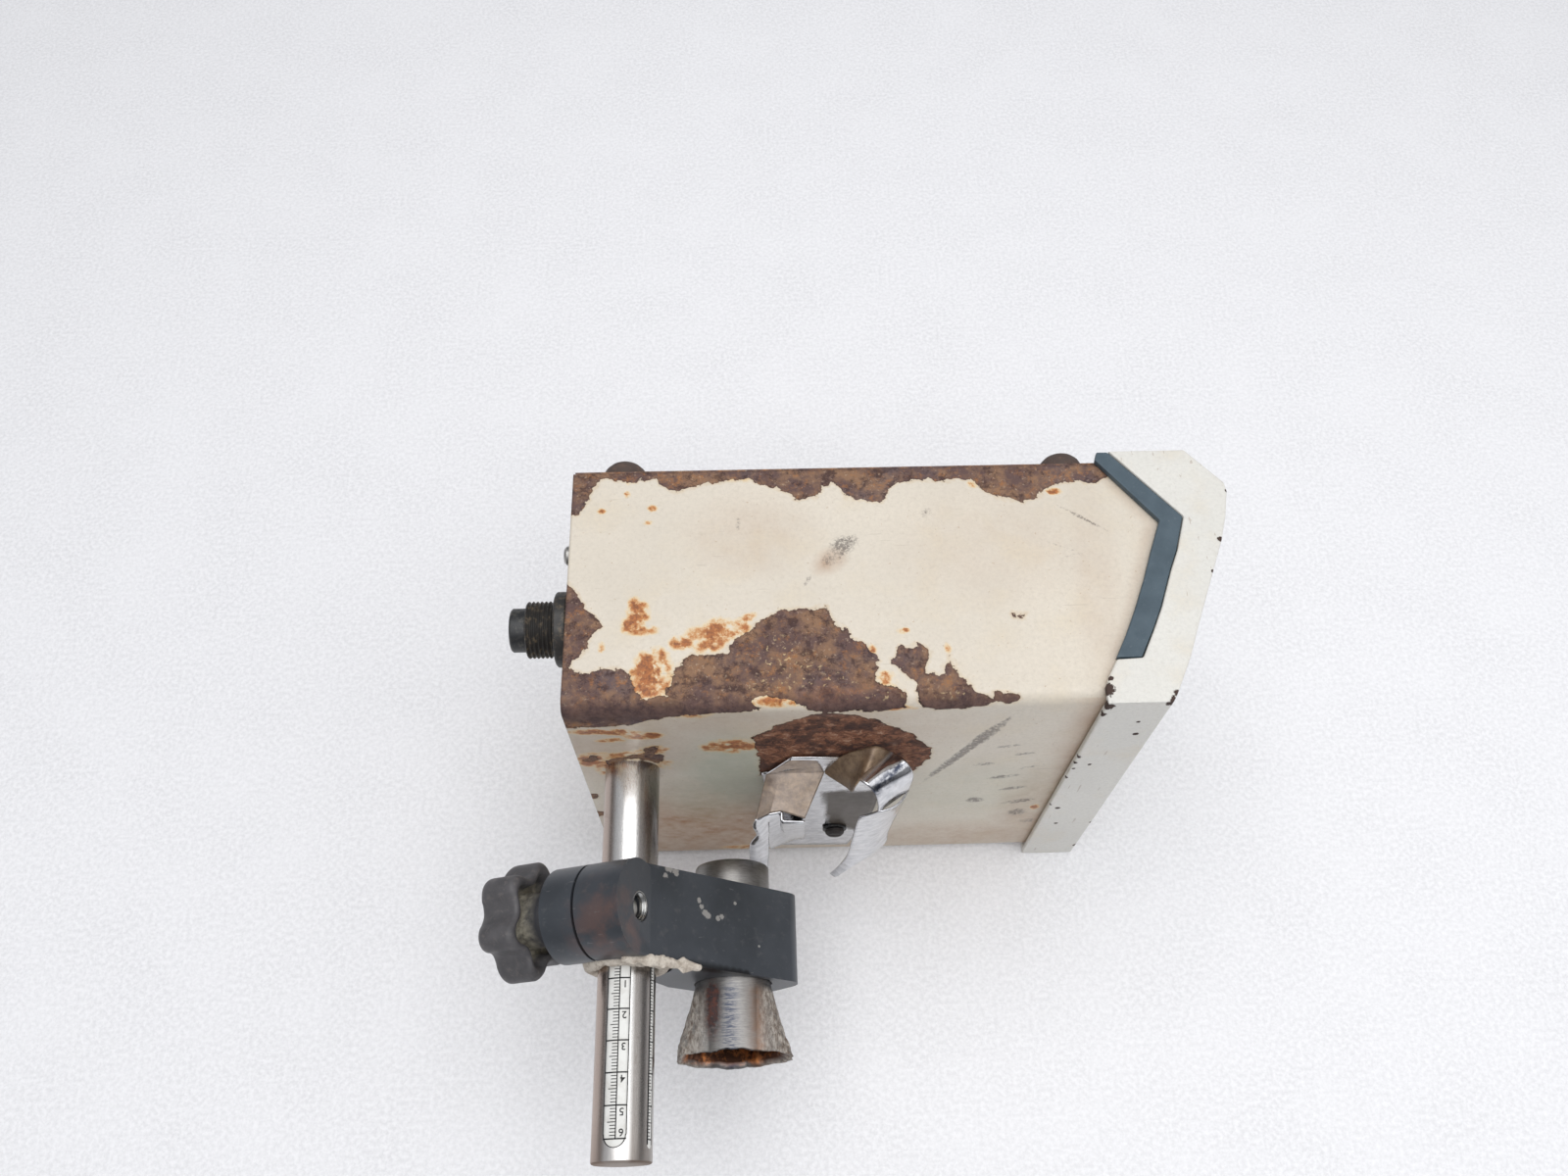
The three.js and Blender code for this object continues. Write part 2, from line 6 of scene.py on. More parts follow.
import bpy
import numpy as np
from mathutils import Euler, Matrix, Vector


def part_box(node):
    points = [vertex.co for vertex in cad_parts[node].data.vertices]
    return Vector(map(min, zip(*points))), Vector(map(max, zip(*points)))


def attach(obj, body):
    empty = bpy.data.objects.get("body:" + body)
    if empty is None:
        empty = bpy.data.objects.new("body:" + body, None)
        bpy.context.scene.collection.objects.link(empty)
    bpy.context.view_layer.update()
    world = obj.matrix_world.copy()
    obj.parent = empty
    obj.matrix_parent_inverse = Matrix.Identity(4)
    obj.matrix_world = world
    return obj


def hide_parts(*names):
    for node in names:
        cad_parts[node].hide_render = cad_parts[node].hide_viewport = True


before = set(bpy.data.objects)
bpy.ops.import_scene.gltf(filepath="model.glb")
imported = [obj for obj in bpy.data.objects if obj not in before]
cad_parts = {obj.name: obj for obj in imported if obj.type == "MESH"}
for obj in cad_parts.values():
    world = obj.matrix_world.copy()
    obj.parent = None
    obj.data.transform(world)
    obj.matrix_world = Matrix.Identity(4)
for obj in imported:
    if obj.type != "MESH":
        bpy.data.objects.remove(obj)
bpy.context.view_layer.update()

MM = 0.001
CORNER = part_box("cover_shell")[0]
CASE_D = 165.0
FOLD = 5.0
COVER_END = 93.2
ROD_X, ROD_Z, ROD_R = 18.8, 108.0, 10.0
ROD_END = -134.4
ARM_TILT = math.radians(-41.4)
ARM_REACH = 47.6
POST_R = 13.9
POST_BORE = 12.2
SCREW_TILT = math.radians(23.6)
SCREW_OFF = 16.6
SCREW_Y = -56.25


def at(x, y, z):
    return CORNER + Vector((x, y, z)) * MM


def to_frame(points):
    return np.asarray(points, float) * MM + np.array(CORNER)


def arm_point(a, b):
    """X and Z of a point a mm out along the clamp's arm and b mm across it."""
    c, s = math.cos(ARM_TILT), math.sin(ARM_TILT)
    return ROD_X + a * c - b * s, ROD_Z + a * s + b * c


POST_X, POST_Z = arm_point(ARM_REACH, 0)
SCREW_U = np.array([math.cos(SCREW_TILT), 0, math.sin(SCREW_TILT)])
SCREW_V = np.array([0, 1, 0.0])
SCREW_W = np.cross(SCREW_U, SCREW_V)
SCREW_BASE = np.array([ROD_X - SCREW_OFF * SCREW_U[2], SCREW_Y, ROD_Z + SCREW_OFF * SCREW_U[0]])


# ---------------------------------------------------------------- noise and outlines
TABLES = [np.random.RandomState(seed).rand(256, 256) for seed in range(12)]


def noise(u, v, size, seed=0):
    """Smooth noise from 0 to 1 whose bumps are about size mm across."""
    table = TABLES[seed]
    x = np.asarray(u, float) / size
    y = np.asarray(v, float) / size
    i = np.floor(x).astype(int)
    j = np.floor(y).astype(int)
    fx = x - i
    fy = y - j
    fx = fx * fx * (3 - 2 * fx)
    fy = fy * fy * (3 - 2 * fy)
    near = table[i % 256, j % 256] * (1 - fx) + table[(i + 1) % 256, j % 256] * fx
    far = table[i % 256, (j + 1) % 256] * (1 - fx) + table[(i + 1) % 256, (j + 1) % 256] * fx
    return near * (1 - fy) + far * fy


def rough_noise(u, v, size, seed=0, octaves=4):
    total = sum(noise(u, v, size / 2 ** k, (seed + k) % 12) / 2 ** k for k in range(octaves))
    return total / sum(0.5 ** k for k in range(octaves))


def depth_inside(u, v, outline):
    """Distance to a closed outline, positive inside it."""
    nearest = np.full(u.shape, 1e9)
    inside = np.zeros(u.shape, bool)
    for (x0, y0), (x1, y1) in zip(outline, outline[1:] + outline[:1]):
        dx, dy = x1 - x0, y1 - y0
        t = np.clip(((u - x0) * dx + (v - y0) * dy) / (dx * dx + dy * dy), 0, 1)
        nearest = np.minimum(nearest, np.hypot(u - x0 - t * dx, v - y0 - t * dy))
        if dy:
            inside ^= ((y0 > v) != (y1 > v)) & (u < x0 + (v - y0) * dx / dy)
    return np.where(inside, nearest, -nearest)


def spot(u, v, x, y, rx, ry, turn=0.0):
    """1 at the middle of an oval, falling to 0 past its edge."""
    c, s = math.cos(turn), math.sin(turn)
    a = ((u - x) * c + (v - y) * s) / rx
    b = ((v - y) * c - (u - x) * s) / ry
    return np.clip(1.6 - np.hypot(a, b) * 1.1, 0, 1)


# ---------------------------------------------------------------- material building
def srgb(r, g, b):
    def linear(c):
        c = c / 255
        return c / 12.92 if c <= 0.04045 else ((c + 0.055) / 1.055) ** 2.4
    return (linear(r), linear(g), linear(b), 1.0)


def darker(tone, share):
    return [c * share for c in tone[:3]] + [1.0]


class Surface:
    """A material and short calls for the nodes it is built from."""

    def __init__(self, name):
        self.material = bpy.data.materials.new(name)
        self.material.use_nodes = True
        self.tree = self.material.node_tree
        self.shader = next(n for n in self.tree.nodes if n.type == "BSDF_PRINCIPLED")
        self.place = self.tree.nodes.new("ShaderNodeTexCoord").outputs["Object"]
        self.height = None

    def put(self, socket, value):
        if isinstance(value, bpy.types.NodeSocket):
            self.tree.links.new(value, socket)
        else:
            socket.default_value = value

    def stretched(self, x, y, z):
        node = self.tree.nodes.new("ShaderNodeMapping")
        self.put(node.inputs["Vector"], self.place)
        node.inputs["Scale"].default_value = (x, y, z)
        return node.outputs["Vector"]

    def noise(self, size, detail=4.0, rough=0.55, vector=None, warp=0.0):
        """Noise whose bumps are about size mm across."""
        node = self.tree.nodes.new("ShaderNodeTexNoise")
        self.put(node.inputs["Vector"], vector or self.place)
        node.inputs["Scale"].default_value = 1 / (size * MM)
        node.inputs["Detail"].default_value = detail
        node.inputs["Roughness"].default_value = rough
        node.inputs["Distortion"].default_value = warp
        return node.outputs["Fac"]

    def value(self, name):
        node = self.tree.nodes.new("ShaderNodeAttribute")
        node.attribute_name = name
        return node.outputs["Fac"]

    def math(self, kind, a, b=0.0):
        node = self.tree.nodes.new("ShaderNodeMath")
        node.operation = kind
        self.put(node.inputs[0], a)
        self.put(node.inputs[1], b)
        return node.outputs[0]

    def times(self, a, b):
        return self.math("MULTIPLY", a, b)

    def plus(self, a, b):
        return self.math("ADD", a, b)

    def most(self, a, b):
        return self.math("MAXIMUM", a, b)

    def step(self, value, low, high, out_low=0.0, out_high=1.0):
        node = self.tree.nodes.new("ShaderNodeMapRange")
        self.put(node.inputs["Value"], value)
        for key, v in (("From Min", low), ("From Max", high), ("To Min", out_low), ("To Max", out_high)):
            node.inputs[key].default_value = v
        return node.outputs["Result"]

    def mix(self, fac, a, b):
        """Blends two colours."""
        node = self.tree.nodes.new("ShaderNodeMix")
        node.data_type = "RGBA"
        self.put(node.inputs[0], fac)
        self.put(node.inputs[6], a)
        self.put(node.inputs[7], b)
        return node.outputs[2]

    def patches(self, colour, grain, low, high, strength, tone):
        """Lays tone over colour where a noise of this grain runs from low to high."""
        return self.mix(self.step(self.noise(*grain), low, high, 0, strength), colour, tone)

    def mottled(self, grain, low, high, a, b):
        """One colour where a noise is below low, the other where it is above high."""
        return self.mix(self.step(self.noise(*grain), low, high), a, b)

    def blend(self, fac, a, b):
        """Blends two numbers."""
        node = self.tree.nodes.new("ShaderNodeMix")
        node.data_type = "FLOAT"
        self.put(node.inputs[0], fac)
        self.put(node.inputs[2], a)
        self.put(node.inputs[3], b)
        return node.outputs[0]

    def near(self, x, y, z, radius):
        """1 close to a point of the object, 0 farther than radius mm from it."""
        node = self.tree.nodes.new("ShaderNodeVectorMath")
        node.operation = "DISTANCE"
        self.put(node.inputs[0], self.place)
        node.inputs[1].default_value = at(x, y, z)
        return self.step(node.outputs["Value"], 0, radius * MM, 1, 0)

    def bump(self, height, depth):
        """Adds relief of depth mm."""
        node = self.tree.nodes.new("ShaderNodeBump")
        node.inputs["Strength"].default_value = 1.0
        node.inputs["Distance"].default_value = depth * MM
        self.put(node.inputs["Height"], height)
        if self.height is not None:
            self.put(node.inputs["Normal"], self.height)
        self.height = node.outputs["Normal"]
        self.put(self.shader.inputs["Normal"], self.height)

    def finish(self, colour, roughness, metallic=0.0, specular=0.5):
        self.put(self.shader.inputs["Base Color"], colour)
        self.put(self.shader.inputs["Roughness"], roughness)
        self.put(self.shader.inputs["Metallic"], metallic)
        self.shader.inputs["Specular IOR Level"].default_value = specular
        return self.material


def rust_colour(m):
    """Brown scale, blotched and speckled, with greyer zones."""
    base = m.mottled((11, 6, 0.7), 0.43, 0.58, srgb(104, 82, 78), srgb(146, 114, 90))
    base = m.patches(base, (18, 4, 0.6), 0.52, 0.64, 0.75, srgb(102, 90, 94))
    base = m.patches(base, (3.4, 6, 0.8), 0.53, 0.64, 0.65, srgb(172, 118, 72))
    base = m.patches(base, (4.5, 7, 0.8), 0.50, 0.60, 0.8, srgb(70, 50, 47))
    return m.patches(base, (1.3, 4, 0.75), 0.60, 0.67, 0.5, srgb(200, 176, 152))


def enamel_colour(m, tone):
    """Old enamel with faint clouds and fine dirt in its orange peel."""
    clouds = m.mottled((38, 3), 0.35, 0.7, tone, darker(tone, 0.93))
    warm = m.patches(clouds, (17, 4), 0.5, 0.75, 0.35, srgb(214, 198, 168))
    grained = m.patches(warm, (1.5, 3, 0.75), 0.38, 0.66, 0.5, darker(tone, 0.82))
    return m.patches(grained, (3.0, 5, 0.75), 0.56, 0.72, 0.18, srgb(184, 172, 152))


CREAM = srgb(219, 210, 195)
BEZEL_CREAM = srgb(223, 221, 214)


def cover_material():
    """Cream enamel with stains and scuffs, scaly rust where the paint is gone, and painted shade along the
    fold and beside the bezel.
    """
    m = Surface("cover_enamel_and_rust")
    edge = m.plus(m.value("rust"), m.step(m.noise(1.6, 5, 0.65), 0, 1, -0.22, 0.22))
    rusted = m.step(edge, 0.485, 0.515)
    paint = enamel_colour(m, CREAM)
    # warm holds brown stains and grime, and the painted shade beside the bezel.
    warm = m.times(m.value("warm"), m.step(m.noise(14, 5, 0.65), 0.3, 0.65, 0.5, 1.0))
    paint = m.mix(warm, paint, srgb(164, 122, 86))
    paint = m.mix(m.step(m.value("cool"), 0, 1, 0, 0.6), paint, srgb(172, 180, 160))
    paint = m.mix(m.step(edge, 0.28, 0.50, 0, 0.35), paint, srgb(196, 164, 112))
    stain = m.times(m.value("stain"), m.step(m.noise(2.0, 6, 0.75), 0.32, 0.62, 0.35, 1.3))
    paint = m.mix(m.step(stain, 0.10, 0.40, 0, 0.55), paint, srgb(226, 196, 138))
    paint = m.mix(m.step(stain, 0.32, 0.70, 0, 0.9), paint, srgb(192, 126, 64))
    core = m.mottled((1.6, 5, 0.75), 0.4, 0.6, srgb(112, 62, 38), srgb(176, 104, 52))
    paint = m.mix(m.step(stain, 0.62, 1.00, 0, 0.85), paint, core)
    scuff = m.times(m.value("scuff"), m.step(m.noise(1.2, 4, 0.8), 0.36, 0.60))
    paint = m.mix(m.step(scuff, 0.2, 0.75, 0, 0.8), paint, srgb(104, 96, 90))
    scratch = m.noise(2.0, 2, 0.5, m.stretched(0.10, 1.6, 1.0))
    paint = m.mix(m.step(scratch, 0.715, 0.735, 0, 0.25), paint, srgb(150, 138, 122))
    speck = m.step(m.noise(1.6, 3, 0.6), 0.685, 0.715, 0, 0.6)
    paint = m.mix(speck, paint, srgb(176, 150, 118))
    rust = rust_colour(m)
    flaky = m.noise(3.4, 6, 0.8, m.stretched(0.9, 1.0, 1.0), 0.5)
    red = m.mix(m.step(flaky, 0.40, 0.56), srgb(76, 50, 42), srgb(160, 108, 80))
    red = m.mix(m.step(flaky, 0.57, 0.66, 0, 0.85), red, srgb(206, 172, 148))
    red = m.patches(red, (13, 5, 0.7), 0.50, 0.58, 0.75, srgb(66, 46, 42))
    rust = m.mix(m.value("deep"), rust, red)
    fleck = m.times(m.value("fleck"), m.step(m.noise(1.5, 3, 0.6), 0.60, 0.66))
    rust = m.mix(fleck, rust, srgb(222, 196, 150))
    # Painted shade: darker rust along the fold, where the top turns down into the rod face.
    fold = m.mottled((5, 6, 0.75), 0.4, 0.6, srgb(66, 50, 52), srgb(108, 84, 78))
    rust = m.mix(m.value("fold"), rust, fold)
    rim = m.step(edge, 0.515, 0.60, 0.6, 0)
    rust = m.mix(rim, rust, srgb(62, 44, 40))
    m.bump(m.noise(1.5, 3, 0.6), 0.08)
    m.bump(m.times(rusted, m.noise(1.5, 6, 0.75)), 0.55)
    m.bump(m.times(m.times(rusted, m.value("deep")), flaky), 0.9)
    m.bump(m.step(edge, 0.48, 0.52, 1, 0), 0.18)
    roughness = m.blend(rusted, m.step(m.noise(6, 4), 0.3, 0.7, 0.34, 0.52), 0.86)
    return m.finish(m.mix(rusted, paint, rust), roughness, specular=0.4)


def patchy_cover_material():
    """The tray's enamel, mostly rusted along its edges."""
    m = Surface("tray_enamel_and_rust")
    edge = m.plus(m.noise(30, 2, 0.5), m.step(m.noise(3, 6, 0.7), 0, 1, -0.16, 0.16))
    far = m.tree.nodes.new("ShaderNodeSeparateXYZ")
    m.put(far.inputs[0], m.place)
    high = m.step(far.outputs["Z"], 0.10, 0.165, 0, 0.45)
    rusted = m.step(m.plus(edge, high), 0.60, 0.63)
    m.bump(m.times(rusted, m.noise(1.5, 6, 0.75)), 0.5)
    roughness = m.blend(rusted, 0.45, 0.88)
    return m.finish(m.mix(rusted, enamel_colour(m, CREAM), rust_colour(m)), roughness, specular=0.4)


# X, Y, Z and radius of each spot where the bezel's paint has chipped
BEZEL_CHIPS = [(182, -3, 165, 5.5), (182.5, 2, 168, 4.5), (182, -3, 158, 3.0), (204, -3, 167, 4.5),
               (206, 0, 168, 3.2), (182, -3, 118, 2.8), (182, -3, 112, 2.2), (182, -3, 96, 1.8),
               (182, -3, 64, 1.6), (204, -3, 40, 2.4), (198, -3, 140, 2.4), (231, 59, 168, 2.2),
               (237, 79, 168, 1.8), (204, -3, 8, 3.0), (188, -3, 110, 1.6), (183, -3, 106, 1.4),
               (186, -3, 60, 2.2), (189, -3, 40, 1.8), (196, -3, 151, 1.6), (184, 6, 168, 2.0),
               (226, 46, 168, 1.4)]


def bezel_material():
    """Paler enamel, chipped along its edges, with a few long scratches."""
    m = Surface("bezel_enamel")
    chips = 0.0
    for x, y, z, radius in BEZEL_CHIPS:
        chips = m.most(m.near(x, y, z, radius), chips)
    edge = m.plus(chips, m.step(m.noise(2.0, 5, 0.7), 0, 1, -0.55, 0.55))
    edge = m.times(edge, m.step(chips, 0, 0.05))
    chipped = m.step(edge, 0.50, 0.54)
    paint = enamel_colour(m, BEZEL_CREAM)
    scratch = m.noise(2.4, 2, 0.5, m.stretched(1.5, 0.4, 0.12))
    paint = m.mix(m.step(scratch, 0.70, 0.72, 0, 0.4), paint, srgb(150, 128, 108))
    m.bump(m.noise(1.3, 2), 0.015)
    m.bump(m.step(edge, 0.48, 0.55, 1, 0), 0.15)
    return m.finish(m.mix(chipped, paint, srgb(70, 54, 48)), m.blend(chipped, 0.4, 0.8), specular=0.4)


def trim_material():
    """Slate blue strip, faintly clouded and specked."""
    m = Surface("slate_trim")
    colour = m.mottled((9, 4), 0.3, 0.7, srgb(62, 78, 88), srgb(76, 92, 102))
    colour = m.patches(colour, (1.2, 3, 0.7), 0.62, 0.74, 0.3, srgb(126, 134, 140))
    m.bump(m.noise(0.5, 3), 0.03)
    return m.finish(colour, m.step(m.noise(3, 3), 0.3, 0.7, 0.42, 0.60))


# Bare spots on the clamp: mm along its arm, mm across it, Y, radius
CLAMP_SCUFFS = [(18.4, 16.5, -49.5, 1.9), (19.6, 16.5, -51.6, 2.1), (21, 16.5, -53.4, 2.6),
                (22.4, 16.5, -54.6, 2.4), (27, 16.5, -54.6, 2.2), (28.8, 16.5, -53.8, 2.0),
                (46, 16.5, -62, 1.2), (35, 16.5, -48, 1.2), (5, 16.5, -40, 3.6), (8, 16.5, -41, 3.0),
                (3.5, 16.5, -43, 2.0), (-8.4, 13.8, -62, 2.4), (-8.6, 13.6, -58, 1.8)]


def anodised_material():
    """Black anodised metal, dusty, with bare spots, a painted shadow in the recess beside the liner and a
    painted brown reflection on the barrel.
    """
    m = Surface("black_anodised_scuffed")
    colour = m.mottled((22, 4), 0.3, 0.7, srgb(58, 62, 67), srgb(74, 78, 84))
    dusty = m.step(m.noise(4, 5, 0.7), 0.56, 0.80, 0, 0.35)
    colour = m.mix(dusty, colour, srgb(122, 120, 118))
    scuffs = 0.0
    for along, across, y, radius in CLAMP_SCUFFS:
        x, z = arm_point(along, across)
        scuffs = m.most(m.near(x, y, z, radius), scuffs)
    worn = m.plus(scuffs, m.step(m.noise(1.8, 5, 0.7), 0, 1, -0.6, 0.6))
    worn = m.times(m.step(worn, 0.50, 0.62), m.step(scuffs, 0, 0.06))
    colour = m.mix(worn, colour, srgb(190, 188, 184))
    # Painted shadow: a near-black patch in the recess beside the liner, on the arm's end face.
    for out in range(0, 25, 3):
        x, z = arm_point(16 + out, 13.4 + 0.10 * out)
        painted_shadow_wedge = m.step(m.near(x, -73.0, z, 6.4 - 0.12 * out), 0.30, 0.55, 0, 0.9)
        colour = m.mix(painted_shadow_wedge, colour, srgb(16, 16, 18))
    # Painted reflection: a brown patch on the barrel, standing in for what it mirrors.
    x, y, z = SCREW_BASE + SCREW_U * 4
    painted_brown_reflection = m.times(m.near(x, y - 8, z + 12, 22), m.step(m.noise(8, 4), 0.35, 0.6))
    colour = m.mix(m.step(painted_brown_reflection, 0.1, 0.7, 0, 0.55), colour, srgb(112, 84, 76))
    scratch = m.noise(1.6, 2, 0.5, m.stretched(0.2, 1.4, 0.5))
    colour = m.mix(m.step(scratch, 0.715, 0.73, 0, 0.3), colour, srgb(130, 130, 130))
    m.bump(m.noise(0.35, 3), 0.02)
    return m.finish(colour, m.blend(dusty, 0.36, 0.62), m.blend(worn, 0.35, 0.9))


def steel_material(name, tone, low, high, grain=(1.0, 1.0, 1.0), stain=0.25):
    """Bare metal with drawn grain, cloudy wear and a brown bloom."""
    m = Surface(name)
    lines = m.noise(1.0, 4, 0.7, m.stretched(*grain))
    bloom = m.step(m.noise(9, 5, 0.65), 0.54, 0.78, 0, stain)
    colour = m.mix(m.step(lines, 0.3, 0.7), darker(tone, 0.86), tone)
    colour = m.mix(bloom, colour, srgb(134, 98, 70))
    m.bump(lines, 0.012)
    rough = m.plus(m.step(lines, 0.3, 0.7, low, high), m.times(bloom, 0.8))
    return m.finish(colour, rough, 1.0)


def plastic_material(name, tone, dust, low=0.4, high=0.6, amount=0.4, grain=0.6):
    """Plastic or dull paint whose roughness runs from low to high, with an amount of dust on it."""
    m = Surface(name)
    colour = m.mottled((8, 4), 0.3, 0.7, tone, darker(tone, 0.8))
    colour = m.mix(m.step(m.noise(2.4, 6, 0.7), 0.52, 0.78, 0, amount), colour, dust)
    m.bump(m.noise(grain, 4, 0.6), 0.04)
    return m.finish(colour, m.step(m.noise(3, 4), 0.3, 0.7, low, high))


def window_material():
    """Smoked glass with smears."""
    m = Surface("smoked_window")
    smears = m.step(m.noise(11, 4, 0.6), 0.35, 0.75, 0.06, 0.22)
    colour = m.mix(m.step(m.noise(1.5, 5, 0.7), 0.62, 0.8, 0, 0.2), srgb(26, 26, 30), srgb(110, 104, 98))
    return m.finish(colour, smears)


# ---------------------------------------------------------------- mesh helpers
def make_piece(name, points, faces, material, body, replaces=(), values=None):
    """A detailed piece that rides a body; values are its numbers per point, for the material."""
    mesh = bpy.data.meshes.new(name)
    mesh.from_pydata([tuple(p) for p in to_frame(points)], [], [tuple(f) for f in faces])
    for key, data in (values or {}).items():
        attribute = mesh.attributes.new(key, "FLOAT", "POINT")
        attribute.data.foreach_set("value", np.asarray(data, np.float32).ravel())
    mesh.materials.append(material)
    mesh.polygons.foreach_set("use_smooth", [True] * len(mesh.polygons))
    mesh.validate()
    piece = bpy.data.objects.new(name, mesh)
    bpy.context.scene.collection.objects.link(piece)
    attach(piece, body)
    if replaces:
        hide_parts(*replaces)


def grid_faces(rows, columns, wrap=False, flip=False, start=0):
    """Quads over a rows x columns grid of points; wrap joins the last column to the first."""
    faces = []
    for i in range(rows - 1):
        for j in range(columns if wrap else columns - 1):
            k = (j + 1) % columns
            quad = (start + i * columns + j, start + i * columns + k,
                    start + (i + 1) * columns + k, start + (i + 1) * columns + j)
            faces.append(quad[::-1] if flip else quad)
    return faces


def shell_faces(rows, columns, flip=False):
    """Faces of two equal grids, one after the other in the points, and of the rim that joins them."""
    count = rows * columns
    rim = list(range(columns)) + [i * columns + columns - 1 for i in range(1, rows)]
    rim += [(rows - 1) * columns + j for j in range(columns - 2, -1, -1)]
    rim += [i * columns for i in range(rows - 2, 0, -1)]
    edge = [(a, a + count, b + count, b) for a, b in zip(rim, rim[1:] + rim[:1])]
    if flip:
        edge = [face[::-1] for face in edge]
    return grid_faces(rows, columns, flip=flip) + grid_faces(rows, columns, flip=not flip, start=count) + edge


def smoothing_group(sharp_angle):
    """Joins a CAD mesh's split corners and shades it smooth, except where it turns more sharply."""
    group = bpy.data.node_groups.new("smooth_by_angle", "GeometryNodeTree")
    group.interface.new_socket("Geometry", in_out="INPUT", socket_type="NodeSocketGeometry")
    group.interface.new_socket("Geometry", in_out="OUTPUT", socket_type="NodeSocketGeometry")
    add = group.nodes.new
    start, end = add("NodeGroupInput"), add("NodeGroupOutput")
    merge = add("GeometryNodeMergeByDistance")
    merge.inputs["Distance"].default_value = 0.00001
    angle = add("GeometryNodeInputMeshEdgeAngle")
    sharp = add("FunctionNodeCompare")
    sharp.data_type = "FLOAT"
    sharp.operation = "GREATER_THAN"
    sharp.inputs[1].default_value = sharp_angle
    smooth = add("GeometryNodeSetShadeSmooth")
    smooth.domain = "FACE"
    edges = add("GeometryNodeSetShadeSmooth")
    edges.domain = "EDGE"
    edges.inputs["Shade Smooth"].default_value = False
    link = group.links.new
    link(start.outputs[0], merge.inputs["Geometry"])
    link(merge.outputs["Geometry"], smooth.inputs["Geometry"])
    link(smooth.outputs["Geometry"], edges.inputs["Geometry"])
    link(angle.outputs[0], sharp.inputs[0])
    link(sharp.outputs[0], edges.inputs["Selection"])
    link(edges.outputs["Geometry"], end.inputs[0])
    return group


SMOOTHING = smoothing_group(math.radians(28))


def dress(node, material, bevel):
    """Gives a CAD node its finish, and edges softened by bevel mm."""
    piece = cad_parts[node]
    for slot in piece.material_slots:
        slot.material = material
    join = piece.modifiers.new("join", "NODES")
    join.node_group = SMOOTHING
    flat = piece.modifiers.new("flat", "DECIMATE")
    flat.decimate_type = "DISSOLVE"
    flat.angle_limit = math.radians(0.6)
    edge = piece.modifiers.new("bevel", "BEVEL")
    edge.width = bevel * MM
    edge.segments = 2
    edge.limit_method = "ANGLE"
    edge.angle_limit = math.radians(32)
    edge.miter_outer = "MITER_ARC"
    again = piece.modifiers.new("smooth", "NODES")
    again.node_group = SMOOTHING
    weigh = piece.modifiers.new("weigh", "WEIGHTED_NORMAL")
    weigh.keep_sharp = True


# ---------------------------------------------------------------- cover
# Outlines on the unrolled cover: X, and W, which is Y on the top side and Z - 165 on the rod face.
RUST = [
    [(-3, 99), (-3, 74), (2, 76), (10, 90), (30, 90), (33, 86.5), (38, 84), (43, 85.5), (49, 89), (66, 89),
     (72, 86), (80, 82), (88, 82), (91, 86), (95, 87), (99, 82), (112, 78), (116, 86), (125, 88), (147, 87),
     (152, 81), (162, 77), (169, 80), (175, 85), (195, 87), (216, 89), (216, 99)],
    [(-3, 52), (1, 48), (6, 38), (13, 31), (8, 26), (7, 21), (3, 17), (7, 13), (13, 14.5), (22, 13),
     (25, 9), (27, 4), (35, 4), (48, 1), (60, 1), (66, -2), (60, -4), (45, -6), (35, -8), (24, -13),
     (10, -15), (-3, -14)],
    [(35, 5), (38, 15), (44, 19), (56, 20), (58, 25), (66, 30), (71, 35), (90, 36), (93, 30), (102, 22),
     (107, 16), (106, 8), (115, 3), (115, -3), (108, -6), (90, -6), (84, -4), (79, -1), (74, 2), (68, 4),
     (64, 2), (60, -2), (46, -3)],
    [(112, 15), (116, 21), (124, 22), (126, 19), (122, 14), (122, 10), (129, 10), (131, 17), (134, 9),
     (140, 3), (146, -1), (140, -5), (126, -6), (120, -2), (119, 8), (116, 10.5)],
    [(64, -27), (71, -17), (78, -11), (89, -7), (98, -9), (109, -17), (118, -25), (124, -36), (129, -44),
     (128, -57), (123, -66), (112, -72), (78, -72), (66, -66)],
    [(145, 3), (148, 2.5), (153, 1.5), (152, -2), (146, -2)],
    [(155, 32.2), (158.6, 31.8), (158.2, 30), (156.2, 29.6)],
    [(9, -52), (10, -47), (18, -42), (23.5, -41), (25, -35), (30, -34), (29, -40), (31.5, -46), (29, -52),
     (24, -48), (17, -47), (12, -50)],
    [(2, -46), (5, -42), (8, -45), (5, -49)],
    [(-3, -80), (1.5, -83), (3, -88), (-3, -92)],
    [(-3, -102), (2, -105), (2, -110), (-3, -113)],
    [(-3, -240), (12, -228), (34, -236), (30, -262), (-3, -262)],
    [(90, -262), (96, -250), (118, -246), (140, -256), (150, -262)],
]
